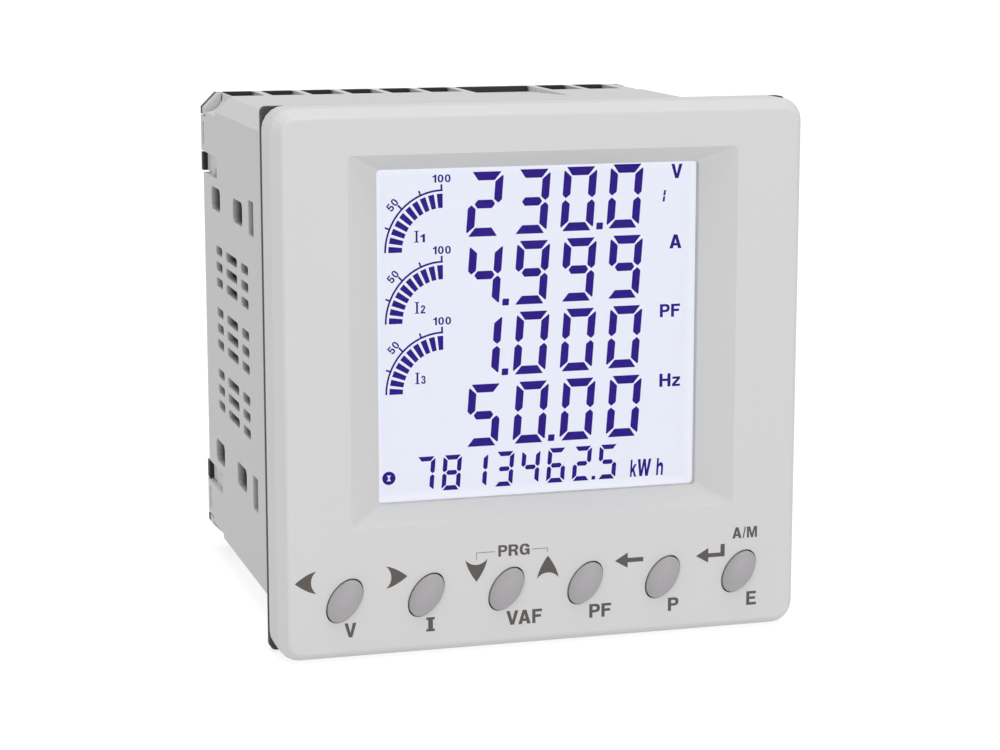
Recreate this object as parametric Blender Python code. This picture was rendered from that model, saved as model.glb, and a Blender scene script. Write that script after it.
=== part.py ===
"""Square panel-mounted multifunction power meter.

The front looks along -Y, +Y runs into the panel and +Z is up.
The origin is the centre of the panel cut-out, in the plane of the panel's
front surface, where the rear face of the gasket lies.
"""
import math

import bmesh
import bpy
from mathutils import Matrix, Vector

MM = 0.001

# Clearances
fit_gap = 0.3 * MM
cut_over = 1.0 * MM

# Front bezel moulding
bezel_size = 96.0 * MM
bezel_depth = 9.6 * MM
bezel_corner = 4.0 * MM
bezel_chamfer_width = 1.6 * MM
bezel_chamfer_depth = 2.7 * MM
bezel_edge_round = 0.35 * MM
front_wall = 2.0 * MM
groove_play = 0.6 * MM
skirt_wall = 1.2 * MM
skirt_reach = 4.0 * MM
arm_inset = 0.15 * MM
arm_hook = 1.0 * MM

# Display recess and window
recess_side = 12.85 * MM
recess_above = 8.0 * MM
recess_below = 23.4 * MM
recess_depth = 3.9 * MM
recess_floor = 1.5 * MM
recess_wall = 2.0 * MM
slope_side = 5.85 * MM
slope_above = 2.9 * MM
slope_below = 3.2 * MM
window_corner = 0.7 * MM

# Keys: slanted ovals in one row under the display
key_names = ("v", "i", "vaf", "pf", "p", "e")
key_length = 9.0 * MM
key_width = 5.6 * MM
key_lean = math.radians(34.5)
key_margin = 11.5 * MM
key_row_up = 10.9 * MM
key_proud = 0.45 * MM
key_crown = 0.95 * MM
key_flange_radius = 4.0 * MM
key_flange = 0.8 * MM
key_stem_radius = 1.5 * MM
key_travel = 0.6 * MM

# Gasket
gasket_thickness = 2.1 * MM
gasket_inset = 0.2 * MM
gasket_corner = 1.0 * MM

# Rear housing moulding
panel_lip = 3.0 * MM
housing_depth = 76.0 * MM
housing_wall = 1.8 * MM
housing_chamfer = 2.8 * MM
rear_step = 2.1 * MM
rear_wall = 1.8 * MM
terminal_zone = 16.6 * MM

# Openings in the housing's sides
clamp_window_height = 4.5 * MM
clamp_window_drop = 19.75 * MM
clamp_window_front = 32.8 * MM
clamp_window_from_rear = 20.1 * MM
clamp_window_length = 9.4 * MM
clamp_window_corner = 0.8 * MM
snap_window_front = 21.8 * MM
snap_window_length = 4.7 * MM
snap_window_height = 6.4 * MM
snap_window_drop = 19.4 * MM
vent_rows = 3
vent_row_pitch = 3.15 * MM
vent_height = 1.8 * MM
vent_corner = 0.5 * MM
vent_group_gap = 4.1 * MM
vent_margin = 6.15 * MM
vent_front = 27.9 * MM
vent_from_rear = 14.8 * MM
vent_web = 3.95 * MM
vent_shares = (0.284, 0.452, 0.264)
slot_corner = 0.25 * MM
notch_drop = 11.5 * MM
notch_height = 4.2 * MM
notch_length = 17.0 * MM
notch_depth = 0.9 * MM
notch_open = 5.5 * MM
side_slot_drop = 5.6 * MM
side_slot_height = 4.6 * MM
side_slot_length = 1.6 * MM
side_slot_from_rear = 1.8 * MM
corner_scallop_radius = 3.6 * MM
corner_open_height = 4.5 * MM
corner_open_width = 3.5 * MM

# Terminal bays in the top and bottom walls
bay_side_wall = 4.0 * MM
bay_width = 6.5 * MM
bay_rib = 1.55 * MM
bay_length = 13.0 * MM
bay_end_wall = 6.1 * MM
right_bays = 2
wide_bay_width = 15.5 * MM
wide_bay_length = 30.0 * MM
wide_bay_depth = 1.1 * MM

# Black terminal blocks
block_front_wall = 2.8 * MM
block_rear_wall = 1.8 * MM
block_corner = 3.0 * MM
cell_depth = 10.0 * MM

# Terminal screws with captive clamp washers
washer_size = 5.4 * MM
washer_thickness = 0.8 * MM
washer_chamfer = 0.5 * MM
screw_head_radius = 2.5 * MM
screw_head_height = 2.0 * MM
screw_shank_radius = 1.5 * MM
screw_drop = 7.6 * MM
screw_slot = 0.8 * MM

# Display stack
window_flange = 2.0 * MM
window_flange_thickness = 1.0 * MM
window_sink = 0.2 * MM
lcd_margin = 2.2 * MM
lcd_thickness = 2.2 * MM
backlight_thickness = 3.5 * MM
holder_wall = 1.6 * MM
board_thickness = 1.6 * MM
display_board_margin = 0.5 * MM
display_board_corner = 1.5 * MM
boss_radius = 1.9 * MM
boss_bore_radius = 1.1 * MM
boss_gap = 0.35 * MM
boss_above = 15.0 * MM
boss_below = 20.5 * MM
display_screw_radius = 0.8 * MM
display_screw_head_radius = 1.8 * MM
display_screw_head = 1.3 * MM
display_screw_reach = 5.0 * MM
display_screw_slot = 0.5 * MM
display_screw_slot_depth = 0.6 * MM
switch_size = 6.0 * MM
switch_height = 3.4 * MM
switch_well = 1.0 * MM
switch_chamfer = 0.5 * MM

# Inner boards and what stands on them
inner_board_side_gap = 2.7 * MM
inner_board_clearance = 5.0 * MM
guide_from_rear = 32.0 * MM
guide_length = 10.0 * MM
guide_thickness = 1.2 * MM
header_width = 40.0 * MM
header_height = 2.6 * MM
header_pins = 8
pin_size = 0.7 * MM
ct_width = 9.0 * MM
ct_pitch = 15.0 * MM
ct_length = 18.0 * MM
ct_corner = 3.0 * MM
ct_share = 0.42
ct_hole_radius = 3.6 * MM
ct_from_rear = 30.0 * MM
level_gap = 10.0 * MM
bar_width = 4.0 * MM
bar_thickness = 1.2 * MM
core_width = 30.0 * MM
core_depth = 13.0 * MM
core_leg = 4.5 * MM
core_from_rear = 30.0 * MM
coil_wall = 3.4 * MM
capacitor_radius = 5.0 * MM
capacitor_height = 16.0 * MM
capacitor_from_edge = 12.5 * MM
capacitor_centre = 30.0 * MM
chip_size = 14.0 * MM
chip_height = 1.4 * MM
chip_corner = 0.6 * MM
chip_taper = 0.2 * MM

# Derived planes and outlines
recess_width = bezel_size - 2 * recess_side
recess_height = bezel_size - recess_above - recess_below
recess_up = (recess_below - recess_above) / 2
window_width = recess_width - 2 * slope_side
window_height = recess_height - slope_above - slope_below
window_up = recess_up + (slope_below - slope_above) / 2
key_pitch = (bezel_size - 2 * key_margin) / (len(key_names) - 1)
bezel_back = -(gasket_thickness + fit_gap)
front = bezel_back - bezel_depth
front_inner = front + front_wall
recess_plane = front + recess_depth
boss_back = recess_plane + recess_floor
housing_half = bezel_size / 2 - panel_lip
housing_inner = housing_half - housing_wall
housing_front = front_inner + fit_gap
groove_outer = housing_half + groove_play
skirt_outer = housing_inner - fit_gap
skirt_inner = skirt_outer - skirt_wall
boss_x = skirt_inner - boss_radius - boss_gap
boss_heights = (boss_below - bezel_size / 2, bezel_size / 2 - boss_above)
clamp_window_up = housing_half - clamp_window_drop
clamp_window_rear = housing_depth - clamp_window_from_rear
snap_window_up = housing_half - snap_window_drop
vent_group_height = (vent_rows - 1) * vent_row_pitch + vent_height
vent_group_pitch = vent_group_height + vent_group_gap
vent_space = 2 * (snap_window_up - snap_window_height / 2 - vent_margin)
vent_groups = round((vent_space + vent_group_gap) / vent_group_pitch)
rear_mid = housing_depth - rear_step
rear_inner = rear_mid - rear_wall
zone_inner = housing_half - terminal_zone
notch_top = housing_half - notch_drop
notch_bottom = notch_top - notch_height
key_row = -bezel_size / 2 + key_row_up
bay_pitch = bay_width + bay_rib
bay_room = 2 * housing_half - bay_side_wall - bay_end_wall - wide_bay_width
bay_groups = (round(bay_room / bay_pitch) - right_bays, right_bays)
bay_start = -housing_half + bay_side_wall
bay_front = housing_depth - bay_length
block_front = bay_front - block_front_wall + fit_gap
block_outer = housing_inner - fit_gap
block_inner = zone_inner + fit_gap
wide_bay_front = housing_depth - wide_bay_length
wide_bay_floor = housing_half - wide_bay_depth
cell_floor = block_outer - cell_depth
cell_front = block_front + block_front_wall
cell_back = housing_depth - block_rear_wall
end_opening = housing_depth - notch_open
screw_up = housing_half - screw_drop
window_back = boss_back + fit_gap + window_flange_thickness
lcd_front = window_back + fit_gap
lcd_back = lcd_front + lcd_thickness
backlight_front = lcd_back + fit_gap
backlight_back = backlight_front + backlight_thickness
display_board_front = backlight_back + 2 * fit_gap
display_board_back = display_board_front + board_thickness
switch_back = display_board_front - fit_gap
switch_front = switch_back - switch_height
inner_board_top = block_inner - fit_gap
inner_board_bottom = inner_board_top - board_thickness
inner_board_front = display_board_back + 2 * fit_gap + inner_board_clearance
inner_board_back = rear_inner - fit_gap
inner_board_half = housing_inner - inner_board_side_gap
guide_front = housing_depth - guide_from_rear
level_room = 2 * (inner_board_bottom - fit_gap) - level_gap
ct_height = ct_share * level_room
ct_centre = housing_depth - ct_from_rear
core_height = level_room - ct_height
core_centre = housing_depth - core_from_rear
capacitor_x = inner_board_half - capacitor_from_edge

materials = {
    "bezel_plastic": ((0.66, 0.66, 0.665), 0.5, 0.0),
    "housing_plastic": ((0.47, 0.455, 0.46), 0.55, 0.0),
    "gasket_rubber": ((0.06, 0.055, 0.06), 0.8, 0.0),
    "key_plastic": ((0.37, 0.36, 0.375), 0.45, 0.0),
    "clear_window": ((0.9, 0.93, 0.98), 0.05, 0.0),
    "lcd_glass": ((0.78, 0.8, 0.88), 0.2, 0.0),
    "backlight_white": ((0.9, 0.92, 0.95), 0.5, 0.0),
    "holder_white": ((0.75, 0.75, 0.74), 0.5, 0.0),
    "board_green": ((0.03, 0.16, 0.06), 0.45, 0.0),
    "terminal_black": ((0.02, 0.02, 0.022), 0.5, 0.0),
    "switch_black": ((0.03, 0.03, 0.03), 0.5, 0.0),
    "plated_steel": ((0.62, 0.62, 0.6), 0.3, 1.0),
    "copper": ((0.75, 0.35, 0.2), 0.3, 1.0),
    "ct_resin": ((0.03, 0.05, 0.16), 0.5, 0.0),
    "core_steel": ((0.3, 0.3, 0.31), 0.45, 0.8),
    "coil_tape": ((0.7, 0.55, 0.12), 0.5, 0.0),
    "capacitor_sleeve": ((0.04, 0.05, 0.1), 0.4, 0.0),
}


def clear_scene():
    for item in list(bpy.data.objects):
        bpy.data.objects.remove(item, do_unlink=True)


def material(name):
    made = bpy.data.materials.get(name)
    if made is None:
        colour, roughness, metallic = materials[name]
        made = bpy.data.materials.new(name)
        made.use_nodes = True
        shader = made.node_tree.nodes["Principled BSDF"]
        shader.inputs["Base Color"].default_value = (*colour, 1.0)
        shader.inputs["Roughness"].default_value = roughness
        shader.inputs["Metallic"].default_value = metallic
    return made


def place(name, shape, slot=None):
    """Turns a bmesh into an object; without a material it is a cutter or a guide."""
    bmesh.ops.recalc_face_normals(shape, faces=shape.faces)
    mesh = bpy.data.meshes.new(name)
    shape.to_mesh(mesh)
    shape.free()
    item = bpy.data.objects.new(name, mesh)
    bpy.context.scene.collection.objects.link(item)
    if slot is None:
        item.hide_render = True
        item.display_type = "WIRE"
    else:
        mesh.materials.append(material(slot))
    return item


def smooth(item, angle=30.0):
    item.data.shade_smooth()
    item.data.set_sharp_from_angle(angle=math.radians(angle))


def combine(item, other, operation):
    """Cuts or joins another object with an exact Boolean."""
    step = item.modifiers.new(other.name, "BOOLEAN")
    step.operation = operation
    step.solver = "EXACT"
    step.object = other


def soften(item, width, angle=35.0, segments=2):
    step = item.modifiers.new("soft edges", "BEVEL")
    step.width = width
    step.segments = segments
    step.limit_method = "ANGLE"
    step.angle_limit = math.radians(angle)


# Outlines: lists of (across, up) points, anticlockwise

def chamfered_square(half, chamfer):
    points = []
    for turn in range(4):
        quarter = Matrix.Rotation(turn * math.pi / 2, 2)
        points.append(quarter @ Vector((half, half - chamfer)))
        points.append(quarter @ Vector((half - chamfer, half)))
    return points


def inset_chamfer(chamfer, inset):
    """Chamfer of the outline that runs a wall's thickness inside another."""
    return max(chamfer - inset * (2 - math.sqrt(2)), fit_gap)


def rounded_rectangle(width, height, radius, up=0.0, across=0.0, steps=5):
    points = []
    for turn in range(4):
        sx = 1 if turn in (0, 3) else -1
        sz = 1 if turn in (0, 1) else -1
        for step in range(steps + 1):
            angle = (turn + step / steps) * math.pi / 2
            x = sx * (width / 2 - radius) + radius * math.cos(angle)
            z = sz * (height / 2 - radius) + radius * math.sin(angle)
            points.append(Vector((across + x, up + z)))
    return points


def rectangle(x0, x1, z0, z1):
    return [Vector(p) for p in ((x1, z0), (x1, z1), (x0, z1), (x0, z0))]


def oval(length, width, lean, steps=24):
    """Ellipse whose long axis leans to the right of upright."""
    turn = Matrix.Rotation(-lean, 2)
    points = []
    for step in range(steps):
        angle = 2 * math.pi * step / steps
        points.append(turn @ Vector((width / 2 * math.cos(angle), length / 2 * math.sin(angle))))
    return points


def circle(radius, steps=24):
    return oval(2 * radius, 2 * radius, 0.0, steps)


def moved(outline, across, up):
    return [point + Vector((across, up)) for point in outline]


# Solids built into a bmesh

def loft(shape, sections, axis="y"):
    """Skins outlines, each given with its depth, into one closed body."""
    rings = []
    for outline, depth in sections:
        ring = []
        for point in outline:
            across, up = point
            if axis == "y":
                place_at = (across, depth, up)
            elif axis == "z":
                place_at = (across, up, depth)
            else:
                place_at = (depth, across, up)
            ring.append(shape.verts.new(place_at))
        rings.append(ring)
    count = len(rings[0])
    for near, far in zip(rings, rings[1:]):
        for index in range(count):
            after = (index + 1) % count
            shape.faces.new((near[index], near[after], far[after], far[index]))
    shape.faces.new(rings[0])
    shape.faces.new(rings[-1])


def prism(shape, outline, start, end, axis="y"):
    loft(shape, ((outline, start), (outline, end)), axis)


def frame_prism(shape, outer, inner, start, end):
    """Closed ring between two outlines that have the same number of points."""
    levels = []
    for depth in (start, end):
        levels.append([shape.verts.new((p[0], depth, p[1])) for p in outer])
        levels.append([shape.verts.new((p[0], depth, p[1])) for p in inner])
    near_outer, near_inner, far_outer, far_inner = levels
    count = len(outer)
    for index in range(count):
        after = (index + 1) % count
        for one, two in (
            (near_outer, far_outer),
            (far_outer, far_inner),
            (far_inner, near_inner),
            (near_inner, near_outer),
        ):
            shape.faces.new((one[index], one[after], two[after], two[index]))


def block(shape, x0, x1, y0, y1, z0, z1):
    prism(shape, rectangle(x0, x1, z0, z1), y0, y1)


def rod(shape, radius, start, end, x=0.0, z=0.0, steps=16):
    prism(shape, moved(circle(radius, steps), x, z), start, end)


def corner_signs():
    return [(sx, sz) for sx in (-1, 1) for sz in (-1, 1)]


# Places of the terminal bays along the top and bottom walls

def bay_edges():
    """Left and right edge of each terminal bay, and of the wide bay between."""
    edges = []
    wide = None
    start = bay_start
    for group, count in enumerate(bay_groups):
        for _ in range(count):
            edges.append((start, start + bay_width))
            start += bay_width + bay_rib
        if group == 0:
            wide = (start, start + wide_bay_width)
            start += wide_bay_width + bay_rib
    return edges, wide


def key_places():
    first = -key_pitch * (len(key_names) - 1) / 2
    return [(name, first + index * key_pitch) for index, name in enumerate(key_names)]


# Front bezel: one moulding with the sloped display recess, six oval key holes,
# a rear groove for the housing, a skirt, four snap arms and four screw bosses

def recess_outline(share):
    """Recess edge: share 0 at the front face, 1 at the window opening."""
    width = recess_width + share * (window_width - recess_width)
    height = recess_height + share * (window_height - recess_height)
    up = recess_up + share * (window_up - recess_up)
    return rounded_rectangle(width, height, window_corner, up)


def snap_arm(shape, side, level):
    """Arm that runs back from the skirt and hooks into a snap window."""
    reach = snap_window_front + snap_window_length - fit_gap
    catch = snap_window_front + fit_gap
    inner = skirt_inner + arm_inset
    outer = skirt_outer - arm_inset
    hook = housing_half - fit_gap
    profile = [
        (inner, skirt_reach / 2),
        (outer, skirt_reach / 2),
        (outer, catch),
        (hook, catch),
        (hook, catch + arm_hook),
        (outer, reach),
        (inner, reach),
    ]
    half = snap_window_height / 2 - 2 * fit_gap
    lower = [shape.verts.new((side * x, y, level - half)) for x, y in profile]
    upper = [shape.verts.new((side * x, y, level + half)) for x, y in profile]
    count = len(profile)
    for index in range(count):
        after = (index + 1) % count
        shape.faces.new((lower[index], lower[after], upper[after], upper[index]))
    shape.faces.new(lower)
    shape.faces.new(upper)


def build_bezel():
    body = bmesh.new()
    loft(body, (
        (rounded_rectangle(bezel_size, bezel_size, bezel_corner), bezel_back),
        (rounded_rectangle(bezel_size, bezel_size, bezel_corner), front + bezel_chamfer_depth),
        (rounded_rectangle(
            bezel_size - 2 * bezel_chamfer_width,
            bezel_size - 2 * bezel_chamfer_width,
            bezel_corner - bezel_chamfer_width), front),
    ))
    bezel = place("front_bezel", body, "bezel_plastic")
    soften(bezel, bezel_edge_round, 25.0)

    cavity = bmesh.new()
    groove = 2 * groove_outer
    prism(cavity, rounded_rectangle(groove, groove, bezel_corner - panel_lip + groove_play),
          front_inner, bezel_back + cut_over)
    cavity = place("bezel_cavity_cutter", cavity)
    pan = bmesh.new()
    prism(pan, rounded_rectangle(recess_width + 2 * recess_wall, recess_height + 2 * recess_wall,
                                 recess_wall, recess_up, steps=2),
          front_inner - cut_over, boss_back)
    combine(cavity, place("recess_pan_guide", pan), "DIFFERENCE")
    combine(bezel, cavity, "DIFFERENCE")

    lead = cut_over / recess_depth
    opening = bmesh.new()
    loft(opening, (
        (recess_outline(-lead), front - cut_over),
        (recess_outline(1.0), recess_plane),
        (recess_outline(1.0), boss_back + cut_over),
    ))
    for _, x in key_places():
        hole = oval(key_length + 2 * fit_gap, key_width + 2 * fit_gap, key_lean)
        prism(opening, moved(hole, x, key_row), front - cut_over, front_inner + cut_over)
    combine(bezel, place("bezel_front_cutter", opening), "DIFFERENCE")

    skirt = bmesh.new()
    inner_chamfer = inset_chamfer(housing_chamfer, housing_half - skirt_outer)
    frame_prism(
        skirt,
        chamfered_square(skirt_outer, inner_chamfer),
        chamfered_square(skirt_inner, inset_chamfer(inner_chamfer, skirt_wall)),
        front_inner - front_wall / 2, skirt_reach)
    combine(bezel, place("bezel_skirt_guide", skirt), "UNION")

    arms = bmesh.new()
    for sx, sz in corner_signs():
        snap_arm(arms, sx, sz * snap_window_up)
    combine(bezel, place("bezel_arms_guide", arms), "UNION")

    bosses = bmesh.new()
    bores = bmesh.new()
    for sx in (-1, 1):
        for z in boss_heights:
            rod(bosses, boss_radius, front_inner - front_wall / 2, display_board_front - fit_gap,
                sx * boss_x, z, 12)
            rod(bores, boss_bore_radius, display_board_back - display_screw_reach - 2 * fit_gap,
                display_board_front + cut_over, sx * boss_x, z, 12)
    combine(bezel, place("bezel_bosses_guide", bosses), "UNION")
    combine(bezel, place("bezel_bores_cutter", bores), "DIFFERENCE")


def build_gasket():
    ring = bmesh.new()
    outer = bezel_size - 2 * gasket_inset
    inner = 2 * (housing_half + fit_gap)
    frame_prism(
        ring,
        rounded_rectangle(outer, outer, gasket_corner),
        rounded_rectangle(inner, inner, gasket_corner),
        -gasket_thickness, 0.0)
    place("panel_gasket", ring, "gasket_rubber")


# Keys: domed slanted ovals with a round flange behind the front wall

def build_key(name, x):
    cap = bmesh.new()
    dome = ((0.30, 1.0), (0.62, 0.82), (0.86, 0.42), (0.97, 0.12), (1.0, 0.0))
    base = front - key_proud
    sections = []
    for share, rise in dome:
        outline = oval(key_length * share, key_width * share, key_lean)
        sections.append((moved(outline, x, key_row), base - rise * key_crown))
    outline = oval(key_length, key_width, key_lean)
    sections.append((moved(outline, x, key_row), front_inner + fit_gap))
    flange = front_inner + 2 * fit_gap
    sections.append((moved(circle(key_flange_radius), x, key_row), flange))
    sections.append((moved(circle(key_flange_radius), x, key_row), flange + key_flange))
    sections.append((moved(circle(key_stem_radius), x, key_row), flange + key_flange))
    tip = switch_front + switch_well - key_travel - fit_gap
    sections.append((moved(circle(key_stem_radius), x, key_row), tip))
    loft(cap, sections)
    centre = Vector((x, front, key_row))
    bmesh.ops.translate(cap, verts=cap.verts, vec=-centre)
    key = place("key_" + name, cap, "key_plastic")
    key.location = centre
    smooth(key, 50.0)


def build_key_switch(name, x):
    body = bmesh.new()
    half = switch_size / 2
    prism(body, moved(chamfered_square(half, switch_chamfer), x, key_row), switch_front, switch_back)
    switch = place("switch_" + name, body, "switch_black")
    well = bmesh.new()
    rod(well, key_stem_radius + fit_gap, switch_front - cut_over, switch_front + switch_well,
        x, key_row, 10)
    combine(switch, place("switch_well_cutter_" + name, well), "DIFFERENCE")


# Display stack behind the recess, from the clear window back to the board

def display_rectangle(margin, radius=window_corner):
    return rounded_rectangle(window_width + 2 * margin, window_height + 2 * margin,
                             radius, window_up, steps=3)


def build_display():
    pane = bmesh.new()
    pad = display_rectangle(-fit_gap)
    flange = display_rectangle(window_flange)
    shelf = boss_back + fit_gap
    loft(pane, (
        (pad, recess_plane + window_sink),
        (pad, shelf),
        (flange, shelf),
        (flange, window_back),
    ))
    place("display_window", pane, "clear_window")

    cell = bmesh.new()
    prism(cell, display_rectangle(lcd_margin), lcd_front, lcd_back)
    place("lcd_glass", cell, "lcd_glass")

    light = bmesh.new()
    prism(light, display_rectangle(lcd_margin), backlight_front, backlight_back)
    place("lcd_backlight", light, "backlight_white")

    holder = bmesh.new()
    inner = lcd_margin + fit_gap
    frame_prism(holder, display_rectangle(inner + holder_wall), display_rectangle(inner),
                lcd_front, display_board_front - fit_gap)
    place("lcd_holder", holder, "holder_white")

    board = bmesh.new()
    side = 2 * (skirt_inner - display_board_margin)
    prism(board, rounded_rectangle(side, side, display_board_corner, steps=3),
          display_board_front, display_board_back)
    board = place("display_board", board, "board_green")
    holes = bmesh.new()
    for sx in (-1, 1):
        for z in boss_heights:
            rod(holes, boss_bore_radius, display_board_front - cut_over,
                display_board_back + cut_over, sx * boss_x, z, 8)
    combine(board, place("display_board_cutter", holes), "DIFFERENCE")

    chip = bmesh.new()
    base = display_board_back + fit_gap
    loft(chip, (
        (chamfered_square(chip_size / 2, chip_corner), base),
        (chamfered_square(chip_size / 2 - chip_taper, chip_corner), base + chip_height),
    ))
    place("measuring_chip", chip, "switch_black")


def build_display_screws():
    number = 0
    for sx in (-1, 1):
        for z in boss_heights:
            number += 1
            x = sx * boss_x
            seat = display_board_back + fit_gap
            body = bmesh.new()
            loft(body, (
                (moved(circle(display_screw_radius, 10), x, z),
                 display_board_back - display_screw_reach),
                (moved(circle(display_screw_radius, 10), x, z), seat),
                (moved(circle(display_screw_head_radius, 10), x, z), seat),
                (moved(circle(display_screw_head_radius, 10), x, z),
                 seat + display_screw_head * 0.6),
                (moved(circle(display_screw_head_radius * 0.6, 10), x, z),
                 seat + display_screw_head),
            ))
            screw = place("display_screw_%d" % number, body, "plated_steel")
            cross = bmesh.new()
            top = seat + display_screw_head
            wide = display_screw_head_radius * 0.6
            thin = display_screw_slot / 2
            block(cross, x - wide, x + wide, top - display_screw_slot_depth, top + cut_over,
                  z - thin, z + thin)
            combine(screw, place("display_screw_cutter_%d" % number, cross), "DIFFERENCE")
            smooth(screw)


# Rear housing: a deep sleeve with vents, windows, bays and board guides

def housing_shell():
    body = bmesh.new()
    outline = chamfered_square(housing_half, housing_chamfer)
    prism(body, outline, housing_front, housing_depth)
    shell = place("rear_housing", body, "housing_plastic")

    inner = chamfered_square(housing_inner, inset_chamfer(housing_chamfer, housing_wall))
    inside = bmesh.new()
    prism(inside, inner, housing_front - cut_over, rear_inner)
    combine(shell, place("housing_inside_cutter", inside), "DIFFERENCE")

    zones = bmesh.new()
    chamfer = inset_chamfer(housing_chamfer, housing_wall)
    for sz in (-1, 1):
        outline = [
            Vector((housing_inner, sz * zone_inner)),
            Vector((housing_inner, sz * (housing_inner - chamfer))),
            Vector((housing_inner - chamfer, sz * housing_inner)),
            Vector((-housing_inner + chamfer, sz * housing_inner)),
            Vector((-housing_inner, sz * (housing_inner - chamfer))),
            Vector((-housing_inner, sz * zone_inner)),
        ]
        prism(zones, outline, rear_inner - cut_over, housing_depth + cut_over)
    combine(shell, place("housing_zone_cutter", zones), "DIFFERENCE")

    step = bmesh.new()
    wide = housing_half + cut_over
    block(step, -wide, wide, rear_mid, housing_depth + cut_over, -notch_bottom, notch_bottom)
    combine(shell, place("housing_rear_step_cutter", step), "DIFFERENCE")
    return shell


def side_slot(shape, side, start, length, level, height, corner, depth):
    """Rounded slot cut into a side wall, down to the depth given."""
    outer = side * (housing_half + cut_over)
    inner = side * (housing_half - depth)
    outline = rounded_rectangle(length, height, corner, level, start + length / 2, steps=1)
    loft(shape, ((outline, inner), (outline, outer)), axis="x")


def vent_spans():
    """Start and length of each column of vents, with equal webs between them."""
    room = housing_depth - vent_from_rear - vent_front - (len(vent_shares) - 1) * vent_web
    spans = []
    start = vent_front
    for share in vent_shares:
        spans.append((start, share * room))
        start += share * room + vent_web
    return spans


def cut_sides(shell):
    """Vents, clamp windows, snap windows, rear notches and small slots of both sides."""
    cuts = bmesh.new()
    through = housing_wall + cut_over
    for side in (-1, 1):
        for group in range(vent_groups):
            centre = (group - (vent_groups - 1) / 2) * vent_group_pitch
            for row in range(vent_rows):
                level = centre + (row - (vent_rows - 1) / 2) * vent_row_pitch
                for start, length in vent_spans():
                    side_slot(cuts, side, start, length, level, vent_height, vent_corner, through)
        for sz in (-1, 1):
            for start in (clamp_window_front, clamp_window_rear):
                side_slot(cuts, side, start, clamp_window_length, sz * clamp_window_up,
                          clamp_window_height, clamp_window_corner, through)
            side_slot(cuts, side, snap_window_front, snap_window_length, sz * snap_window_up,
                      snap_window_height, slot_corner, through)
            level = sz * (housing_half - side_slot_drop - side_slot_height / 2)
            start = housing_depth - side_slot_from_rear - side_slot_length
            side_slot(cuts, side, start, side_slot_length, level, side_slot_height,
                      slot_corner, notch_depth)
            level = sz * (notch_top + notch_bottom) / 2
            start = housing_depth - notch_length
            side_slot(cuts, side, start, notch_length + cut_over, level, notch_height,
                      slot_corner, notch_depth)
    combine(shell, place("housing_side_cutter", cuts), "DIFFERENCE")

    ends = bmesh.new()
    wide = housing_half + cut_over
    narrow = housing_inner - cut_over
    for sx, sz in corner_signs():
        x = sorted((sx * narrow, sx * wide))
        z = sorted((sz * notch_bottom, sz * notch_top))
        block(ends, *x, end_opening, housing_depth + cut_over, *z)
        x = sorted((sx * (housing_half - corner_open_width), sx * wide))
        z = sorted((sz * (housing_half - corner_open_height), sz * wide))
        block(ends, *x, end_opening, housing_depth + cut_over, *z)
    combine(shell, place("housing_corner_cutter", ends), "DIFFERENCE")

    scallops = bmesh.new()
    for sx, sz in corner_signs():
        rod(scallops, corner_scallop_radius, housing_depth - notch_length,
            end_opening + cut_over, sx * housing_half, sz * housing_half)
    combine(shell, place("housing_scallop_cutter", scallops), "DIFFERENCE")


def cut_bays(shell):
    """Terminal bays through the top and bottom walls, and the shallow sloped wide bay."""
    edges, wide = bay_edges()
    cuts = bmesh.new()
    outer = housing_half + cut_over
    through = housing_inner - cut_over
    wall_start = cell_back - fit_gap
    slope = cut_over * (wall_start - wide_bay_front) / wide_bay_depth
    ramp = [
        (wide_bay_front - slope, outer),
        (wall_start, wide_bay_floor),
        (wall_start, through),
        (housing_depth + cut_over, through),
        (housing_depth + cut_over, outer),
    ]
    for sz in (-1, 1):
        for left, right in edges:
            z = sorted((sz * through, sz * outer))
            block(cuts, left, right, bay_front, housing_depth + cut_over, *z)
        outline = [Vector((y, sz * up)) for y, up in ramp]
        loft(cuts, ((outline, wide[0]), (outline, wide[1])), axis="x")
    combine(shell, place("housing_bay_cutter", cuts), "DIFFERENCE")


def add_board_guides(shell):
    guides = bmesh.new()
    inner = inner_board_half - cut_over
    for sx, sz in corner_signs():
        x = sorted((sx * inner, sx * (housing_inner + housing_wall / 2)))
        for base in (inner_board_top + fit_gap, inner_board_bottom - fit_gap - guide_thickness):
            z = sorted((sz * base, sz * (base + guide_thickness)))
            block(guides, *x, guide_front, guide_front + guide_length, *z)
    combine(shell, place("housing_guides_guide", guides), "UNION")


def build_housing():
    shell = housing_shell()
    add_board_guides(shell)
    cut_bays(shell)
    cut_sides(shell)


# Black terminal blocks, one above and one below the rear wall

def terminal_block_body(name, side):
    """Plain block with the two rounded corners that lie in the housing's corners."""
    half = block_outer
    radius = block_corner
    outline = [(half, block_inner), (half, half - radius)]
    for step in range(1, 6):
        angle = step / 6 * math.pi / 2
        outline.append((half - radius + radius * math.cos(angle),
                        half - radius + radius * math.sin(angle)))
    outline.append((half - radius, half))
    mirrored = [(-x, z) for x, z in reversed(outline)]
    body = bmesh.new()
    prism(body, [Vector((x, side * z)) for x, z in outline + mirrored], block_front, housing_depth)
    return place(name, body, "terminal_black")


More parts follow.
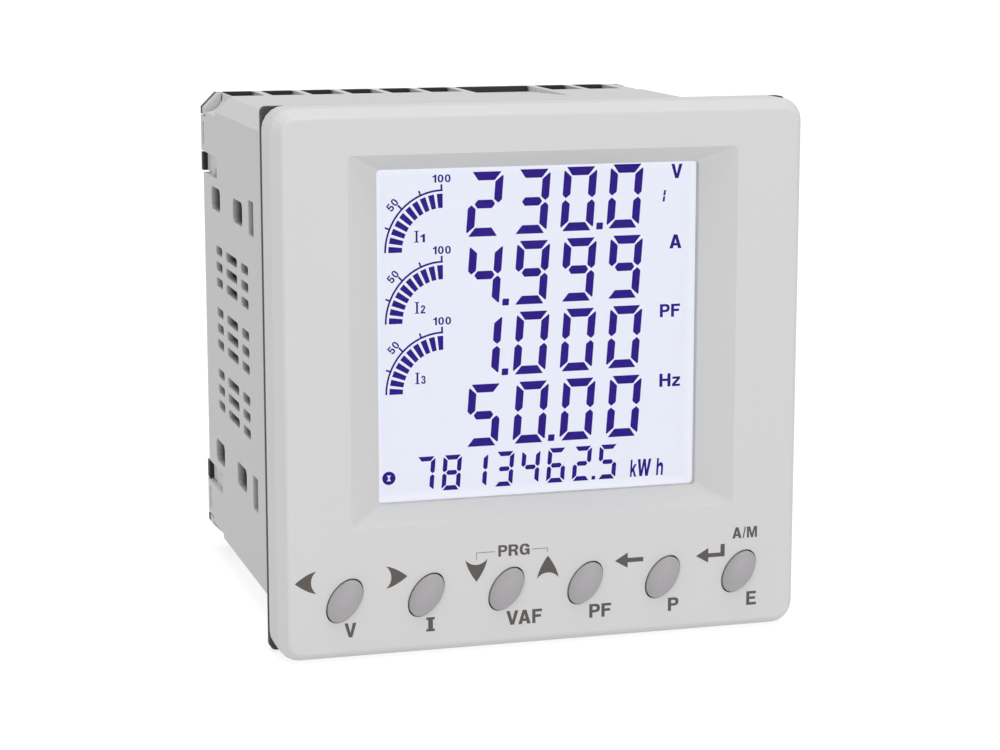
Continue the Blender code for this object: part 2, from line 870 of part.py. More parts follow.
def add_block_ends(body, side):
    """Corner pieces and side lugs that fill the openings at the housing's rear edge."""
    ends = bmesh.new()
    start = end_opening + fit_gap
    root = block_outer - cut_over
    left = housing_half - corner_open_width + fit_gap
    low = housing_half - corner_open_height + fit_gap
    corner = [
        (left, low),
        (housing_half, low),
        (housing_half, housing_half - housing_chamfer),
        (housing_half - housing_chamfer, housing_half),
        (left, housing_half),
    ]
    groove = housing_half - notch_depth
    lug = [
        (root, start), (groove, start), (groove, cell_back),
        (housing_half, cell_back), (housing_half, housing_depth), (root, housing_depth),
    ]
    z = sorted((side * (notch_bottom + fit_gap), side * (notch_top - fit_gap)))
    for sx in (-1, 1):
        prism(ends, [Vector((sx * x, side * up)) for x, up in corner], start, housing_depth)
        prism(ends, [Vector((sx * x, y)) for x, y in lug], *z, axis="z")
    combine(body, place(body.name + "_ends_guide", ends), "UNION")


def build_terminal_block(name, side):
    """One cell per terminal; the wall behind the cells rises between the bays' ribs."""
    body = terminal_block_body(name, side)
    add_block_ends(body, side)
    edges, wide = bay_edges()
    teeth = bmesh.new()
    cells = bmesh.new()
    holes = bmesh.new()
    rise = sorted((side * (block_outer - cut_over), side * housing_half))
    sink = sorted((side * cell_floor, side * (block_outer + cut_over)))
    for left, right in edges + [wide]:
        block(teeth, left + fit_gap, right - fit_gap, cell_back, housing_depth, *rise)
    for left, right in edges:
        block(cells, left, right, cell_front, cell_back, *sink)
        place_at = ((left + right) / 2, side * screw_up)
        rod(holes, screw_shank_radius + fit_gap, block_front - cut_over, cell_front + cut_over,
            *place_at, 8)
        rod(holes, screw_head_radius + fit_gap, cell_back - cut_over, housing_depth + cut_over,
            *place_at, 14)
    combine(body, place(name + "_teeth_guide", teeth), "UNION")
    combine(body, place(name + "_cell_cutter", cells), "DIFFERENCE")
    combine(body, place(name + "_hole_cutter", holes), "DIFFERENCE")


def build_terminal_screw(name, x, z):
    """Screw with its captive square clamp washer, one turned and pressed piece."""
    body = bmesh.new()
    seat = cell_front + fit_gap
    face = seat + washer_thickness
    prism(body, moved(chamfered_square(washer_size / 2, washer_chamfer), x, z), seat, face)
    screw = place(name, body, "plated_steel")
    turned = bmesh.new()
    loft(turned, (
        (moved(circle(screw_shank_radius, 10), x, z), block_front + fit_gap),
        (moved(circle(screw_shank_radius, 10), x, z), face - washer_thickness / 2),
        (moved(circle(screw_head_radius, 10), x, z), face - washer_thickness / 2),
        (moved(circle(screw_head_radius, 10), x, z), face + screw_head_height * 0.75),
        (moved(circle(screw_head_radius * 0.85, 10), x, z), face + screw_head_height),
    ))
    combine(screw, place(name + "_guide", turned), "UNION")
    slot = bmesh.new()
    block(slot, x - washer_size, x + washer_size, face + screw_head_height / 2,
          face + screw_head_height + cut_over, z - screw_slot / 2, z + screw_slot / 2)
    combine(screw, place(name + "_slot_cutter", slot), "DIFFERENCE")
    smooth(screw)


def build_terminals():
    edges, _ = bay_edges()
    for row, side in (("top", 1), ("bottom", -1)):
        build_terminal_block(row + "_terminal_block", side)
        for number, (left, right) in enumerate(edges, 1):
            build_terminal_screw("%s_terminal_screw_%d" % (row, number),
                                 (left + right) / 2, side * screw_up)


# Inner boards and the parts that stand on them

def build_inner_board(name, side):
    board = bmesh.new()
    z = sorted((side * inner_board_bottom, side * inner_board_top))
    block(board, -inner_board_half, inner_board_half, inner_board_front, inner_board_back, *z)
    place(name, board, "board_green")

    header = bmesh.new()
    middle = side * (inner_board_bottom + inner_board_top) / 2
    base = display_board_back + fit_gap
    block(header, -header_width / 2, header_width / 2, base, base + header_height,
          middle - header_height / 2, middle + header_height / 2)
    header = place(name + "_header", header, "switch_black")
    pins = bmesh.new()
    for index in range(header_pins):
        x = (index - (header_pins - 1) / 2) * header_width / header_pins
        block(pins, x - pin_size / 2, x + pin_size / 2, base + header_height / 2,
              inner_board_front - fit_gap, middle - pin_size / 2, middle + pin_size / 2)
    combine(header, place(name + "_pins_guide", pins), "UNION")


def build_current_transformers():
    """Three ring cores under the upper board, each with a bar through it."""
    edges, _ = bay_edges()
    top = inner_board_bottom - fit_gap
    middle = top - ct_height / 2
    count = bay_groups[0] // 2
    centre = (edges[0][0] + edges[bay_groups[0] - 1][1]) / 2
    for number in range(count):
        x = centre + (number - (count - 1) / 2) * ct_pitch
        body = bmesh.new()
        outline = rounded_rectangle(ct_length, ct_height, ct_corner, middle, ct_centre, steps=3)
        loft(body, ((outline, x - ct_width / 2), (outline, x + ct_width / 2)), axis="x")
        body = place("current_transformer_%d" % (number + 1), body, "ct_resin")
        hole = bmesh.new()
        ring = moved(circle(ct_hole_radius, 20), ct_centre, middle)
        loft(hole, ((ring, x - ct_width), (ring, x + ct_width)), axis="x")
        combine(body, place("current_transformer_cutter_%d" % (number + 1), hole), "DIFFERENCE")
        smooth(body, 40.0)

        leg = ct_width / 2 + fit_gap
        low = middle - bar_thickness / 2
        profile = [
            (-leg - bar_thickness, top), (-leg - bar_thickness, low),
            (leg + bar_thickness, low), (leg + bar_thickness, top),
            (leg, top), (leg, low + bar_thickness),
            (-leg, low + bar_thickness), (-leg, top),
        ]
        bar = bmesh.new()
        outline = [Vector((x + across, up)) for across, up in profile]
        prism(bar, outline, ct_centre - bar_width / 2, ct_centre + bar_width / 2)
        place("primary_bar_%d" % (number + 1), bar, "copper")


def build_supply_parts():
    """Transformer and capacitors that stand on the lower board."""
    floor = -inner_board_bottom + fit_gap
    middle = floor + core_height / 2
    near = core_centre - core_depth / 2
    far = core_centre + core_depth / 2
    core = bmesh.new()
    block(core, -core_width / 2, core_width / 2, near, far, floor, floor + core_height)
    core = place("transformer_core", core, "core_steel")
    gaps = bmesh.new()
    window = core_width / 2 - 2 * core_leg
    high = core_height / 2 - core_leg
    for side in (-1, 1):
        x = sorted((side * core_leg, side * (core_leg + window)))
        block(gaps, *x, near - cut_over, far + cut_over, middle - high, middle + high)
    combine(core, place("transformer_core_cutter", gaps), "DIFFERENCE")

    coil = bmesh.new()
    inner_x = core_leg + fit_gap
    inner_y = core_depth / 2 + fit_gap
    wall = min(coil_wall, window - 2 * fit_gap)
    outer = [(inner_x + wall, inner_y + wall), (-inner_x - wall, inner_y + wall),
             (-inner_x - wall, -inner_y - wall), (inner_x + wall, -inner_y - wall)]
    inner = [(inner_x, inner_y), (-inner_x, inner_y), (-inner_x, -inner_y), (inner_x, -inner_y)]
    frame_prism(coil, outer, inner, -high + fit_gap, high - fit_gap)
    upright = Matrix.Rotation(math.pi / 2, 4, "X")
    upright = Matrix.Translation((0.0, core_centre, middle)) @ upright
    bmesh.ops.transform(coil, matrix=upright, verts=coil.verts)
    place("transformer_coil", coil, "coil_tape")

    for number, side in ((1, -1), (2, 1)):
        can = bmesh.new()
        ring = moved(circle(capacitor_radius, 20), side * capacitor_x, capacitor_centre)
        lip = moved(circle(capacitor_radius * 0.9, 20), side * capacitor_x, capacitor_centre)
        shoulder = floor + capacitor_height * 0.95
        loft(can, ((ring, floor), (ring, shoulder), (lip, floor + capacitor_height)), axis="z")
        can = place("capacitor_%d" % number, can, "capacitor_sleeve")
        smooth(can, 40.0)


def build_meter():
    clear_scene()
    build_bezel()
    build_gasket()
    for name, x in key_places():
        build_key(name, x)
        build_key_switch(name, x)
    build_display()
    build_display_screws()
    build_housing()
    build_terminals()
    build_inner_board("current_board", 1)
    build_inner_board("supply_board", -1)
    build_current_transformers()
    build_supply_parts()


build_meter()
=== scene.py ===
import math

import bmesh
import bpy
from mathutils import Matrix, Vector


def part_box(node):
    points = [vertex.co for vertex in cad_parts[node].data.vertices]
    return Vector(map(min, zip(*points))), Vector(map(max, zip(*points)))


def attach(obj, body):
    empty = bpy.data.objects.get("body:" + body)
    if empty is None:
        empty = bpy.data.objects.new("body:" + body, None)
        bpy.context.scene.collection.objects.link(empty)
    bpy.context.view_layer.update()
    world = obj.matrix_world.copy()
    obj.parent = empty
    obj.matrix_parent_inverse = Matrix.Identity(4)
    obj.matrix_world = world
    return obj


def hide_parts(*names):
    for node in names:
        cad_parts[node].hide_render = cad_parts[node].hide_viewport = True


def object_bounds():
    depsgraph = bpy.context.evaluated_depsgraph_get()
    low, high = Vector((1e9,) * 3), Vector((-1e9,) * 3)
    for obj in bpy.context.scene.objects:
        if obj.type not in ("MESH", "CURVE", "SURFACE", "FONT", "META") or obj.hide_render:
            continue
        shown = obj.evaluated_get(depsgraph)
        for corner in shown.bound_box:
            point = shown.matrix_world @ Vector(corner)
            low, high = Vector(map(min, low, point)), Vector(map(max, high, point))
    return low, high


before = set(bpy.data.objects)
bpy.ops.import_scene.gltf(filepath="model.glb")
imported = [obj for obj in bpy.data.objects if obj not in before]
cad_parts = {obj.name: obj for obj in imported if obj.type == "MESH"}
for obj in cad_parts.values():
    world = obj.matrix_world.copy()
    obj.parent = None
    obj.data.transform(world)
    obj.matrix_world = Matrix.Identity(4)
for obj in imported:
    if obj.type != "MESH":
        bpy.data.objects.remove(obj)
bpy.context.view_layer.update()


# The meter stands on its own lower edge and is looked at from the left and a little above, with a long lens.
# The camera was fitted to the corners of the 96 mm front and to the edges of the housing behind it.

mm = 0.001
picture_width = 1000
lens_in_pixels = 2556
look_right = math.radians(16.26)
look_down = math.radians(10.34)

eye = bpy.data.cameras.new("eye")
eye.sensor_width = 36.0
eye.lens = lens_in_pixels * eye.sensor_width / picture_width
viewer = bpy.data.objects.new("viewer", eye)
viewer.location = (-130.7 * mm, -431.0 * mm, 80.9 * mm)
viewer.rotation_euler = (math.radians(90) - look_down, 0, -look_right)
bpy.context.scene.collection.objects.link(viewer)
bpy.context.scene.camera = viewer


# Plain studio: an even white light tent all round, with a wide soft lamp in front and another above.
# The tent is seen as white, and the tones come straight from the light, with no film curve.

bpy.context.scene.view_settings.view_transform = "Standard"
surround = bpy.data.worlds.new("light tent")
surround.use_nodes = True
tent = surround.node_tree.nodes["Background"]
tent.inputs["Color"].default_value = (0.99, 0.992, 1.0, 1)
seen = surround.node_tree.nodes.new("ShaderNodeLightPath")
dimmed = surround.node_tree.nodes.new("ShaderNodeMapRange")
tent_light = 0.68
tent_seen = 1.06
dimmed.inputs["To Min"].default_value = tent_light
dimmed.inputs["To Max"].default_value = tent_seen
surround.node_tree.links.new(seen.outputs["Is Camera Ray"], dimmed.inputs["Value"])
surround.node_tree.links.new(dimmed.outputs["Result"], tent.inputs["Strength"])
bpy.context.scene.world = surround

lamp_spread = math.radians(40)
for name, toward, strength in (
    ("front lamp", (-0.12, 1.0, -0.05), 0.85),
    ("top lamp", (0.0, 0.1, -1.0), 1.0),
):
    lamp = bpy.data.lights.new(name, "SUN")
    lamp.angle = lamp_spread
    lamp.energy = strength
    stand = bpy.data.objects.new(name, lamp)
    stand.rotation_euler = Vector(toward).to_track_quat("-Z", "Y").to_euler()
    bpy.context.scene.collection.objects.link(stand)


# Floor: a wide pale board under the meter, matt, with a faint cloudiness, lit from below like a light table.
# It is part of the studio and not of the meter.

def new_material(name):
    """A fresh material, with its node tree and its surface shader."""
    made = bpy.data.materials.new(name)
    made.use_nodes = True
    return made, made.node_tree, made.node_tree.nodes["Principled BSDF"]


board_reach = 4.0
board_back = 2.0
board_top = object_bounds()[0][2] - 0.02 * mm
board = bmesh.new()
bmesh.ops.create_grid(board, x_segments=1, y_segments=1, size=board_reach)
bmesh.ops.translate(board, verts=board.verts, vec=(0, board_back, board_top))
floor_mesh = bpy.data.meshes.new("floor")
board.to_mesh(floor_mesh)
board.free()
floor = bpy.data.objects.new("floor", floor_mesh)
bpy.context.scene.collection.objects.link(floor)
floor_paint, tree, shader = new_material("floor_paint")
clouds = tree.nodes.new("ShaderNodeTexNoise")
clouds.inputs["Scale"].default_value = 6.0
shade = tree.nodes.new("ShaderNodeMix")
shade.data_type = "RGBA"
shade.inputs["A"].default_value = (0.35, 0.352, 0.357, 1)
shade.inputs["B"].default_value = (0.36, 0.362, 0.367, 1)
tree.links.new(clouds.outputs["Fac"], shade.inputs["Factor"])
tree.links.new(shade.outputs["Result"], shader.inputs["Base Color"])
shader.inputs["Roughness"].default_value = 0.9
shader.inputs["Specular IOR Level"].default_value = 0.1
seen = tree.nodes.new("ShaderNodeLightPath")
table_glow = tree.nodes.new("ShaderNodeMapRange")
glow_light = 0.48
glow_seen = 0.75
table_glow.inputs["To Min"].default_value = glow_light
table_glow.inputs["To Max"].default_value = glow_seen
tree.links.new(seen.outputs["Is Camera Ray"], table_glow.inputs["Value"])
tree.links.new(table_glow.outputs["Result"], shader.inputs["Emission Strength"])
shader.inputs["Emission Color"].default_value = (1, 1, 1, 1)
floor_mesh.materials.append(floor_paint)


# Front bezel: the square grey frame that holds everything, moulded in ABS with a fine spark-eroded skin.
# Its front, the sloped recess and the chamfers come from one mould, so they share one finish. Its walls
# inside the housing carry painted shade in near black.

def mould_skin():
    """Fine pits of the mould for a Bump node, and a faint cloudiness of the plastic's tone and gloss."""
    group = bpy.data.node_groups.new("mould skin", "ShaderNodeTree")
    for name in ("Pits per metre", "Clouds per metre", "Spread"):
        group.interface.new_socket(name, in_out="INPUT", socket_type="NodeSocketFloat").min_value = 0.0
    for name in ("Height", "Tone", "Gloss"):
        group.interface.new_socket(name, in_out="OUTPUT", socket_type="NodeSocketFloat")
    nodes = group.nodes
    links = group.links
    given = nodes.new("NodeGroupInput")
    result = nodes.new("NodeGroupOutput")
    place = nodes.new("ShaderNodeTexCoord")
    pits = nodes.new("ShaderNodeTexNoise")
    pits.inputs["Detail"].default_value = 4.0
    pits.inputs["Roughness"].default_value = 0.65
    clouds = nodes.new("ShaderNodeTexNoise")
    clouds.inputs["Detail"].default_value = 3.0
    links.new(place.outputs["Object"], pits.inputs["Vector"])
    links.new(place.outputs["Object"], clouds.inputs["Vector"])
    links.new(given.outputs["Pits per metre"], pits.inputs["Scale"])
    links.new(given.outputs["Clouds per metre"], clouds.inputs["Scale"])
    links.new(pits.outputs["Fac"], result.inputs["Height"])
    centred = nodes.new("ShaderNodeMath")
    centred.operation = "SUBTRACT"
    centred.inputs[1].default_value = 0.5
    links.new(clouds.outputs["Fac"], centred.inputs[0])
    spread = nodes.new("ShaderNodeMath")
    spread.operation = "MULTIPLY"
    links.new(centred.outputs[0], spread.inputs[0])
    links.new(given.outputs["Spread"], spread.inputs[1])
    tone = nodes.new("ShaderNodeMath")
    tone.operation = "ADD"
    tone.inputs[1].default_value = 1.0
    links.new(spread.outputs[0], tone.inputs[0])
    links.new(tone.outputs[0], result.inputs["Tone"])
    links.new(spread.outputs[0], result.inputs["Gloss"])
    return group


skin_of_mould = mould_skin()


def skinned(name, colour, roughness, pits, clouds, spread, pit_depth, strength):
    """A material whose tone, roughness and bump all follow the mould skin."""
    made, tree, shader = new_material(name)
    skin = tree.nodes.new("ShaderNodeGroup")
    skin.node_tree = skin_of_mould
    skin.inputs["Pits per metre"].default_value = pits
    skin.inputs["Clouds per metre"].default_value = clouds
    skin.inputs["Spread"].default_value = spread
    tint = tree.nodes.new("ShaderNodeMix")
    tint.data_type = "RGBA"
    tint.blend_type = "MULTIPLY"
    tint.inputs["Factor"].default_value = 1.0
    tint.inputs["A"].default_value = (*colour, 1)
    tree.links.new(skin.outputs["Tone"], tint.inputs["B"])
    tree.links.new(tint.outputs["Result"], shader.inputs["Base Color"])
    rough = tree.nodes.new("ShaderNodeMath")
    rough.operation = "ADD"
    rough.inputs[1].default_value = roughness
    tree.links.new(skin.outputs["Gloss"], rough.inputs[0])
    tree.links.new(rough.outputs[0], shader.inputs["Roughness"])
    bump = tree.nodes.new("ShaderNodeBump")
    bump.inputs["Strength"].default_value = strength
    bump.inputs["Distance"].default_value = pit_depth
    tree.links.new(skin.outputs["Height"], bump.inputs["Height"])
    tree.links.new(bump.outputs["Normal"], shader.inputs["Normal"])
    return made, shader


def moulded(name, colour, roughness, pits=2600.0, pit_depth=0.012 * mm, clouds=45.0, spread=0.035,
            specular=0.4):
    """A moulded plastic or rubber, with the pits of its mould and a weak shine."""
    made, shader = skinned(name, colour, roughness, pits, clouds, spread, pit_depth, 0.6)
    shader.inputs["Specular IOR Level"].default_value = specular
    return made


def dress(material, *names):
    """Gives the material to the pieces named."""
    for name in names:
        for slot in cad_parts[name].material_slots:
            slot.material = material


def product(tree, *masks):
    """All masks multiplied with one another."""
    result = masks[0]
    for mask in masks[1:]:
        times = tree.nodes.new("ShaderNodeMath")
        times.operation = "MULTIPLY"
        tree.links.new(result, times.inputs[0])
        tree.links.new(mask, times.inputs[1])
        result = times.outputs[0]
    return result


def in_range(tree, value, first, last, soft=0.2 * mm):
    """One where the value lies between first and last, zero elsewhere, with soft ends."""
    ends = []
    for none, full in ((first, first + soft), (last, last - soft)):
        slope = tree.nodes.new("ShaderNodeMapRange")
        slope.inputs["From Min"].default_value = none
        slope.inputs["From Max"].default_value = full
        tree.links.new(value, slope.inputs["Value"])
        ends.append(slope.outputs["Result"])
    return product(tree, *ends)


def away_from_middle(tree):
    """Object coordinates as X, Y and Z, with X and Z taken without their sign."""
    spot = tree.nodes.new("ShaderNodeTexCoord")
    split = tree.nodes.new("ShaderNodeSeparateXYZ")
    tree.links.new(spot.outputs["Object"], split.inputs["Vector"])
    unsigned = {}
    for axis in ("X", "Z"):
        away = tree.nodes.new("ShaderNodeMath")
        away.operation = "ABSOLUTE"
        tree.links.new(split.outputs[axis], away.inputs[0])
        unsigned[axis] = away.outputs[0]
    return unsigned["X"], split.outputs["Y"], unsigned["Z"]


def tone_where(material, where, colour):
    """Another tone of the plastic where the mask is one."""
    tree = material.node_tree
    base = tree.nodes["Principled BSDF"].inputs["Base Color"]
    usual = base.links[0].from_socket
    chosen = tree.nodes.new("ShaderNodeMix")
    chosen.data_type = "RGBA"
    chosen.inputs["B"].default_value = (*colour, 1)
    tree.links.new(where, chosen.inputs["Factor"])
    tree.links.new(usual, chosen.inputs["A"])
    tree.links.new(chosen.outputs["Result"], base)


def painted_shade_inside(material, first, last):
    """Painted shade: between two depths the side walls darken towards their inner faces, and so does all
    behind them, in near black colour standing in for the shade inside the box.
    """
    near_outer_face = 44.85 * mm
    wall = 1.5 * mm
    above_windows = 31.0 * mm
    # Near black colour painted as shade over the inner walls and all behind them.
    painted_inner_shade = (0.05, 0.048, 0.046)
    tree = material.node_tree
    across, deep, up = away_from_middle(tree)
    where = product(tree, in_range(tree, across, -mm, near_outer_face, wall),
                    in_range(tree, up, -mm, above_windows), in_range(tree, deep, first, last))
    tone_where(material, where, painted_inner_shade)


bezel_plastic = moulded("bezel_plastic", (0.68, 0.675, 0.678), 0.52)
# Painted shade: the bezel's walls inside the housing are coloured near black.
painted_shade_inside(bezel_plastic, first=4.0 * mm, last=60.0 * mm)
dress(bezel_plastic, "front_bezel")


# Panel gasket: a soft foamed rubber ring behind the bezel, nearly black, with open pores at its cut edge.
# It is squeezed between the bezel and the panel.

gasket_rubber = moulded("gasket_rubber", (0.08, 0.072, 0.076), 0.8, pits=3600.0, pit_depth=0.08 * mm,
                        clouds=160.0, spread=0.16, specular=0.2)
dress(gasket_rubber, "panel_gasket")


# Display window: a clear acrylic pane snapped in behind the bezel's opening, polished and coated.
# The coat takes away the glare, and its side walls hardly bend the light, so that no figure shows twice.

window_clear, tree, shader = new_material("window_clear")
shader.inputs["Base Color"].default_value = (0.985, 0.988, 1.0, 1)
shader.inputs["Transmission Weight"].default_value = 1.0
hardly_bending = 1.001
shader.inputs["IOR"].default_value = hardly_bending
shader.inputs["Specular IOR Level"].default_value = 0.12
pane = tree.nodes.new("ShaderNodeTexCoord")
waves = tree.nodes.new("ShaderNodeTexNoise")
waves.inputs["Scale"].default_value = 60.0
tree.links.new(pane.outputs["Object"], waves.inputs["Vector"])
polish = tree.nodes.new("ShaderNodeMapRange")
polish.inputs["To Min"].default_value = 0.0
polish.inputs["To Max"].default_value = 0.03
tree.links.new(waves.outputs["Fac"], polish.inputs["Value"])
tree.links.new(polish.outputs["Result"], shader.inputs["Roughness"])
dress(window_clear, "display_window")


# Liquid crystal glass: two sheets with the crystal film between them, lit from behind by a white light guide.
# The ground is bright bluish white, and a little lighter along the rim, where the lamps feed the guide.

lcd_ground, tree, shader = new_material("lcd_ground")
glass_low, glass_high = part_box("lcd_glass")
middle = (glass_low + glass_high) / 2
pane = tree.nodes.new("ShaderNodeTexCoord")
centred = tree.nodes.new("ShaderNodeMapping")
centred.inputs["Location"].default_value = (-middle.x, 0, -middle.z)
tree.links.new(pane.outputs["Object"], centred.inputs["Vector"])
split = tree.nodes.new("ShaderNodeSeparateXYZ")
tree.links.new(centred.outputs["Vector"], split.inputs["Vector"])
rim = []
rim_width = 1.6 * mm
for axis, half in (("X", 29.3 * mm), ("Z", 29.2 * mm)):
    away = tree.nodes.new("ShaderNodeMath")
    away.operation = "ABSOLUTE"
    tree.links.new(split.outputs[axis], away.inputs[0])
    share = tree.nodes.new("ShaderNodeMapRange")
    share.inputs["From Min"].default_value = half - rim_width
    share.inputs["From Max"].default_value = half
    tree.links.new(away.outputs[0], share.inputs["Value"])
    rim.append(share)
nearest = tree.nodes.new("ShaderNodeMath")
nearest.operation = "MAXIMUM"
tree.links.new(rim[0].outputs["Result"], nearest.inputs[0])
tree.links.new(rim[1].outputs["Result"], nearest.inputs[1])
glow = tree.nodes.new("ShaderNodeMix")
glow.data_type = "RGBA"
glow.inputs["A"].default_value = (0.755, 0.775, 0.865, 1)
glow.inputs["B"].default_value = (0.84, 0.855, 0.93, 1)
tree.links.new(nearest.outputs[0], glow.inputs["Factor"])
tree.links.new(glow.outputs["Result"], shader.inputs["Emission Color"])
shader.inputs["Emission Strength"].default_value = 0.95
clouds = tree.nodes.new("ShaderNodeTexNoise")
clouds.inputs["Scale"].default_value = 40.0
tree.links.new(pane.outputs["Object"], clouds.inputs["Vector"])
ground = tree.nodes.new("ShaderNodeMix")
ground.data_type = "RGBA"
ground.inputs["A"].default_value = (0.07, 0.07, 0.08, 1)
ground.inputs["B"].default_value = (0.08, 0.08, 0.09, 1)
tree.links.new(clouds.outputs["Fac"], ground.inputs["Factor"])
tree.links.new(ground.outputs["Result"], shader.inputs["Base Color"])
shader.inputs["Roughness"].default_value = 0.35
dress(lcd_ground, "lcd_glass")
dress(lcd_ground, "lcd_backlight")


# Lit segments: dark violet-blue figures of the liquid crystal, in four rows with a small row below.
# They lie on the front of the glass as a thin film with rounded corners, and all lean a little.

segment_ink, tree, shader = new_material("segment_ink")
pane = tree.nodes.new("ShaderNodeTexCoord")
clouds = tree.nodes.new("ShaderNodeTexNoise")
clouds.inputs["Scale"].default_value = 90.0
tree.links.new(pane.outputs["Object"], clouds.inputs["Vector"])
leak = tree.nodes.new("ShaderNodeMix")
leak.data_type = "RGBA"
leak.inputs["A"].default_value = (0.014, 0.004, 0.125, 1)
leak.inputs["B"].default_value = (0.018, 0.006, 0.14, 1)
tree.links.new(clouds.outputs["Fac"], leak.inputs["Factor"])
tree.links.new(leak.outputs["Result"], shader.inputs["Emission Color"])
tree.links.new(leak.outputs["Result"], shader.inputs["Base Color"])
shader.inputs["Emission Strength"].default_value = 0.85
shader.inputs["Roughness"].default_value = 0.4
shader.inputs["Specular IOR Level"].default_value = 0.1

film = 0.02 * mm
film_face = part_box("lcd_glass")[0].y - 2 * film
lcd_right = 0.5 * mm
lcd_down = 0.38 * mm


def finish_flat(shape, name, material, face, right=0.0, up=0.0, thick=film):
    """Turns a flat drawing in X and Y into a thin sheet facing the reader, with its face at the Y given."""
    merged = 0.001 * mm
    bmesh.ops.remove_doubles(shape, verts=shape.verts, dist=merged)
    bmesh.ops.dissolve_degenerate(shape, edges=shape.edges, dist=merged)
    for flat in shape.faces:
        if flat.normal.z < 0:
            flat.normal_flip()
    sides = bmesh.ops.extrude_face_region(shape, geom=list(shape.faces), use_keep_orig=True)
    raised = [part for part in sides["geom"] if isinstance(part, bmesh.types.BMVert)]
    bmesh.ops.translate(shape, verts=raised, vec=(0, 0, thick))
    bmesh.ops.recalc_face_normals(shape, faces=shape.faces)
    stand = Matrix.Translation((right, face + thick, up)) @ Matrix.Rotation(math.radians(90), 4, "X")
    bmesh.ops.transform(shape, matrix=stand, verts=shape.verts)
    mesh = bpy.data.meshes.new(name)
    shape.to_mesh(mesh)
    shape.free()
    mesh.materials.append(material)
    piece = bpy.data.objects.new(name, mesh)
    bpy.context.scene.collection.objects.link(piece)
    return piece


def flat_shape(shape, corners, rounding=0.0):
    """One flat face from a few corner points, its corners rounded."""
    points = [shape.verts.new((x, y, 0)) for x, y in corners]
    face = shape.faces.new(points)
    if rounding:
        bmesh.ops.bevel(shape, geom=points, offset=rounding, offset_type="OFFSET", segments=2,
                        profile=0.5, affect="VERTICES", material=-1)
    return face


def plate(shape, left, right, base, top):
    """One flat rectangle."""
    flat_shape(shape, ((left, base), (right, base), (right, top), (left, top)))


figure_width = 6.0 * mm
figure_height = 11.15 * mm
stroke = 1.5 * mm
figure_lean = 0.075
lit = {
    "0": "abcdef", "1": "bc", "2": "abged", "3": "abgcd", "4": "fgbc", "5": "afgcd", "6": "afgedc",
    "7": "abc", "8": "abcdefg", "9": "abfgcd",
}


def figure(shape, sign, middle_x, base, scale=1.0):
    """One seven-segment figure, or its decimal point, standing on the base line."""
    half = figure_width / 2
    tall = figure_height / 2
    inner = half - stroke
    cut = 0.14 * mm
    bar = 0.74 * mm
    across = ((-half + 0.42 * mm, tall), (half - 0.42 * mm, tall),
              (inner - 0.03 * mm, tall - stroke), (-inner + 0.03 * mm, tall - stroke))
    upright = ((half - 0.12 * mm, tall - 0.6 * mm), (half, tall - 0.8 * mm), (half, bar),
               (half - 0.6 * mm, cut), (inner + 0.08 * mm, 0.82 * mm), (inner + 0.08 * mm, tall - 1.72 * mm))
    middle = ((-half + 1.17 * mm, 0), (-half + 1.7 * mm, bar), (half - 1.7 * mm, bar),
              (half - 1.17 * mm, 0), (half - 1.7 * mm, -bar), (-half + 1.7 * mm, -bar))
    outlines = {
        "a": across,
        "d": [(x, -y) for x, y in across],
        "b": upright,
        "c": [(x, -y) for x, y in upright],
        "f": [(-x, y) for x, y in upright],
        "e": [(-x, -y) for x, y in upright],
        "g": middle,
    }
    if sign == ".":
        point_x = 4.2 * mm
        side = 0.6 * mm
        low = -tall + 0.1 * mm
        drawn = [((point_x - side, low), (point_x + side, low),
                  (point_x + side, low + 2 * side), (point_x - side, low + 2 * side))]
    else:
        drawn = [outlines[name] for name in lit[sign]]
    for outline in drawn:
        placed = [(middle_x + scale * (x + figure_lean * y), base + scale * (y + tall)) for x, y in outline]
        flat_shape(shape, placed, 0.13 * mm * scale)


def row_of_figures(shape, text, first, pitch, base, rise, scale=1.0):
    """A row of figures from left to right, climbing by the small slope given."""
    column = first
    for sign in text:
        at = column - pitch if sign == "." else column
        figure(shape, sign, at, base + rise * (at - first), scale)
        if sign != ".":
            column += pitch


rows = bmesh.new()
row_pitch = 12.45 * mm
lowest_row = -12.3 * mm
for number, digits in enumerate(("50.00", "1.000", "4.999", "230.0")):
    first = (-10.0 + 0.1 * number) * mm
    pitch = (8.72 - 0.045 * number) * mm
    climb = 0.0085 + 0.0047 * number
    scale = 1.0 + 0.005 * number
    row_of_figures(rows, digits, first, pitch, lowest_row + number * row_pitch, climb, scale)

counter_first = -20.68 * mm
counter_pitch = 4.837 * mm
counter_base = -19.9 * mm
counter_climb = 0.006
counter_scale = 0.566
row_of_figures(rows, "7813462.5", counter_first, counter_pitch, counter_base, counter_climb, counter_scale)

sign_foot = 30.1 * mm
for low, high in ((sign_foot, 31.05 * mm), (31.2 * mm, 32.15 * mm)):
    lean = 0.13 * (low - sign_foot)
    flat_shape(rows, ((23.1 * mm + lean, low), (23.5 * mm + lean, low),
                      (23.6 * mm + lean, high), (23.25 * mm + lean, high)), 0.06 * mm)
lcd_figures = finish_flat(rows, "lcd_figures", segment_ink, film_face, lcd_right, -lcd_down)
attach(lcd_figures, "meter")


# Bar graphs of the three phase currents: ten wedge bars under a quarter of a circle with short marks.
# They are the same liquid crystal film as the figures.

def turned(shape, made, angle, centre):
    """Turns what was drawn round the origin, and moves it to the centre given."""
    bmesh.ops.rotate(shape, verts=made, cent=(0, 0, 0), matrix=Matrix.Rotation(angle, 3, "Z"))
    bmesh.ops.translate(shape, verts=made, vec=(*centre, 0))


def wedge(shape, centre, inner, outer, angle, width):
    """A bar between two radii, its sides along the radius, at the angle given."""
    ends = [(radius * math.cos(side * width / 2), radius * math.sin(side * width / 2))
            for radius, side in ((inner, -1), (outer, -1), (outer, 1), (inner, 1))]
    face = flat_shape(shape, ends)
    turned(shape, list(face.verts), angle, centre)


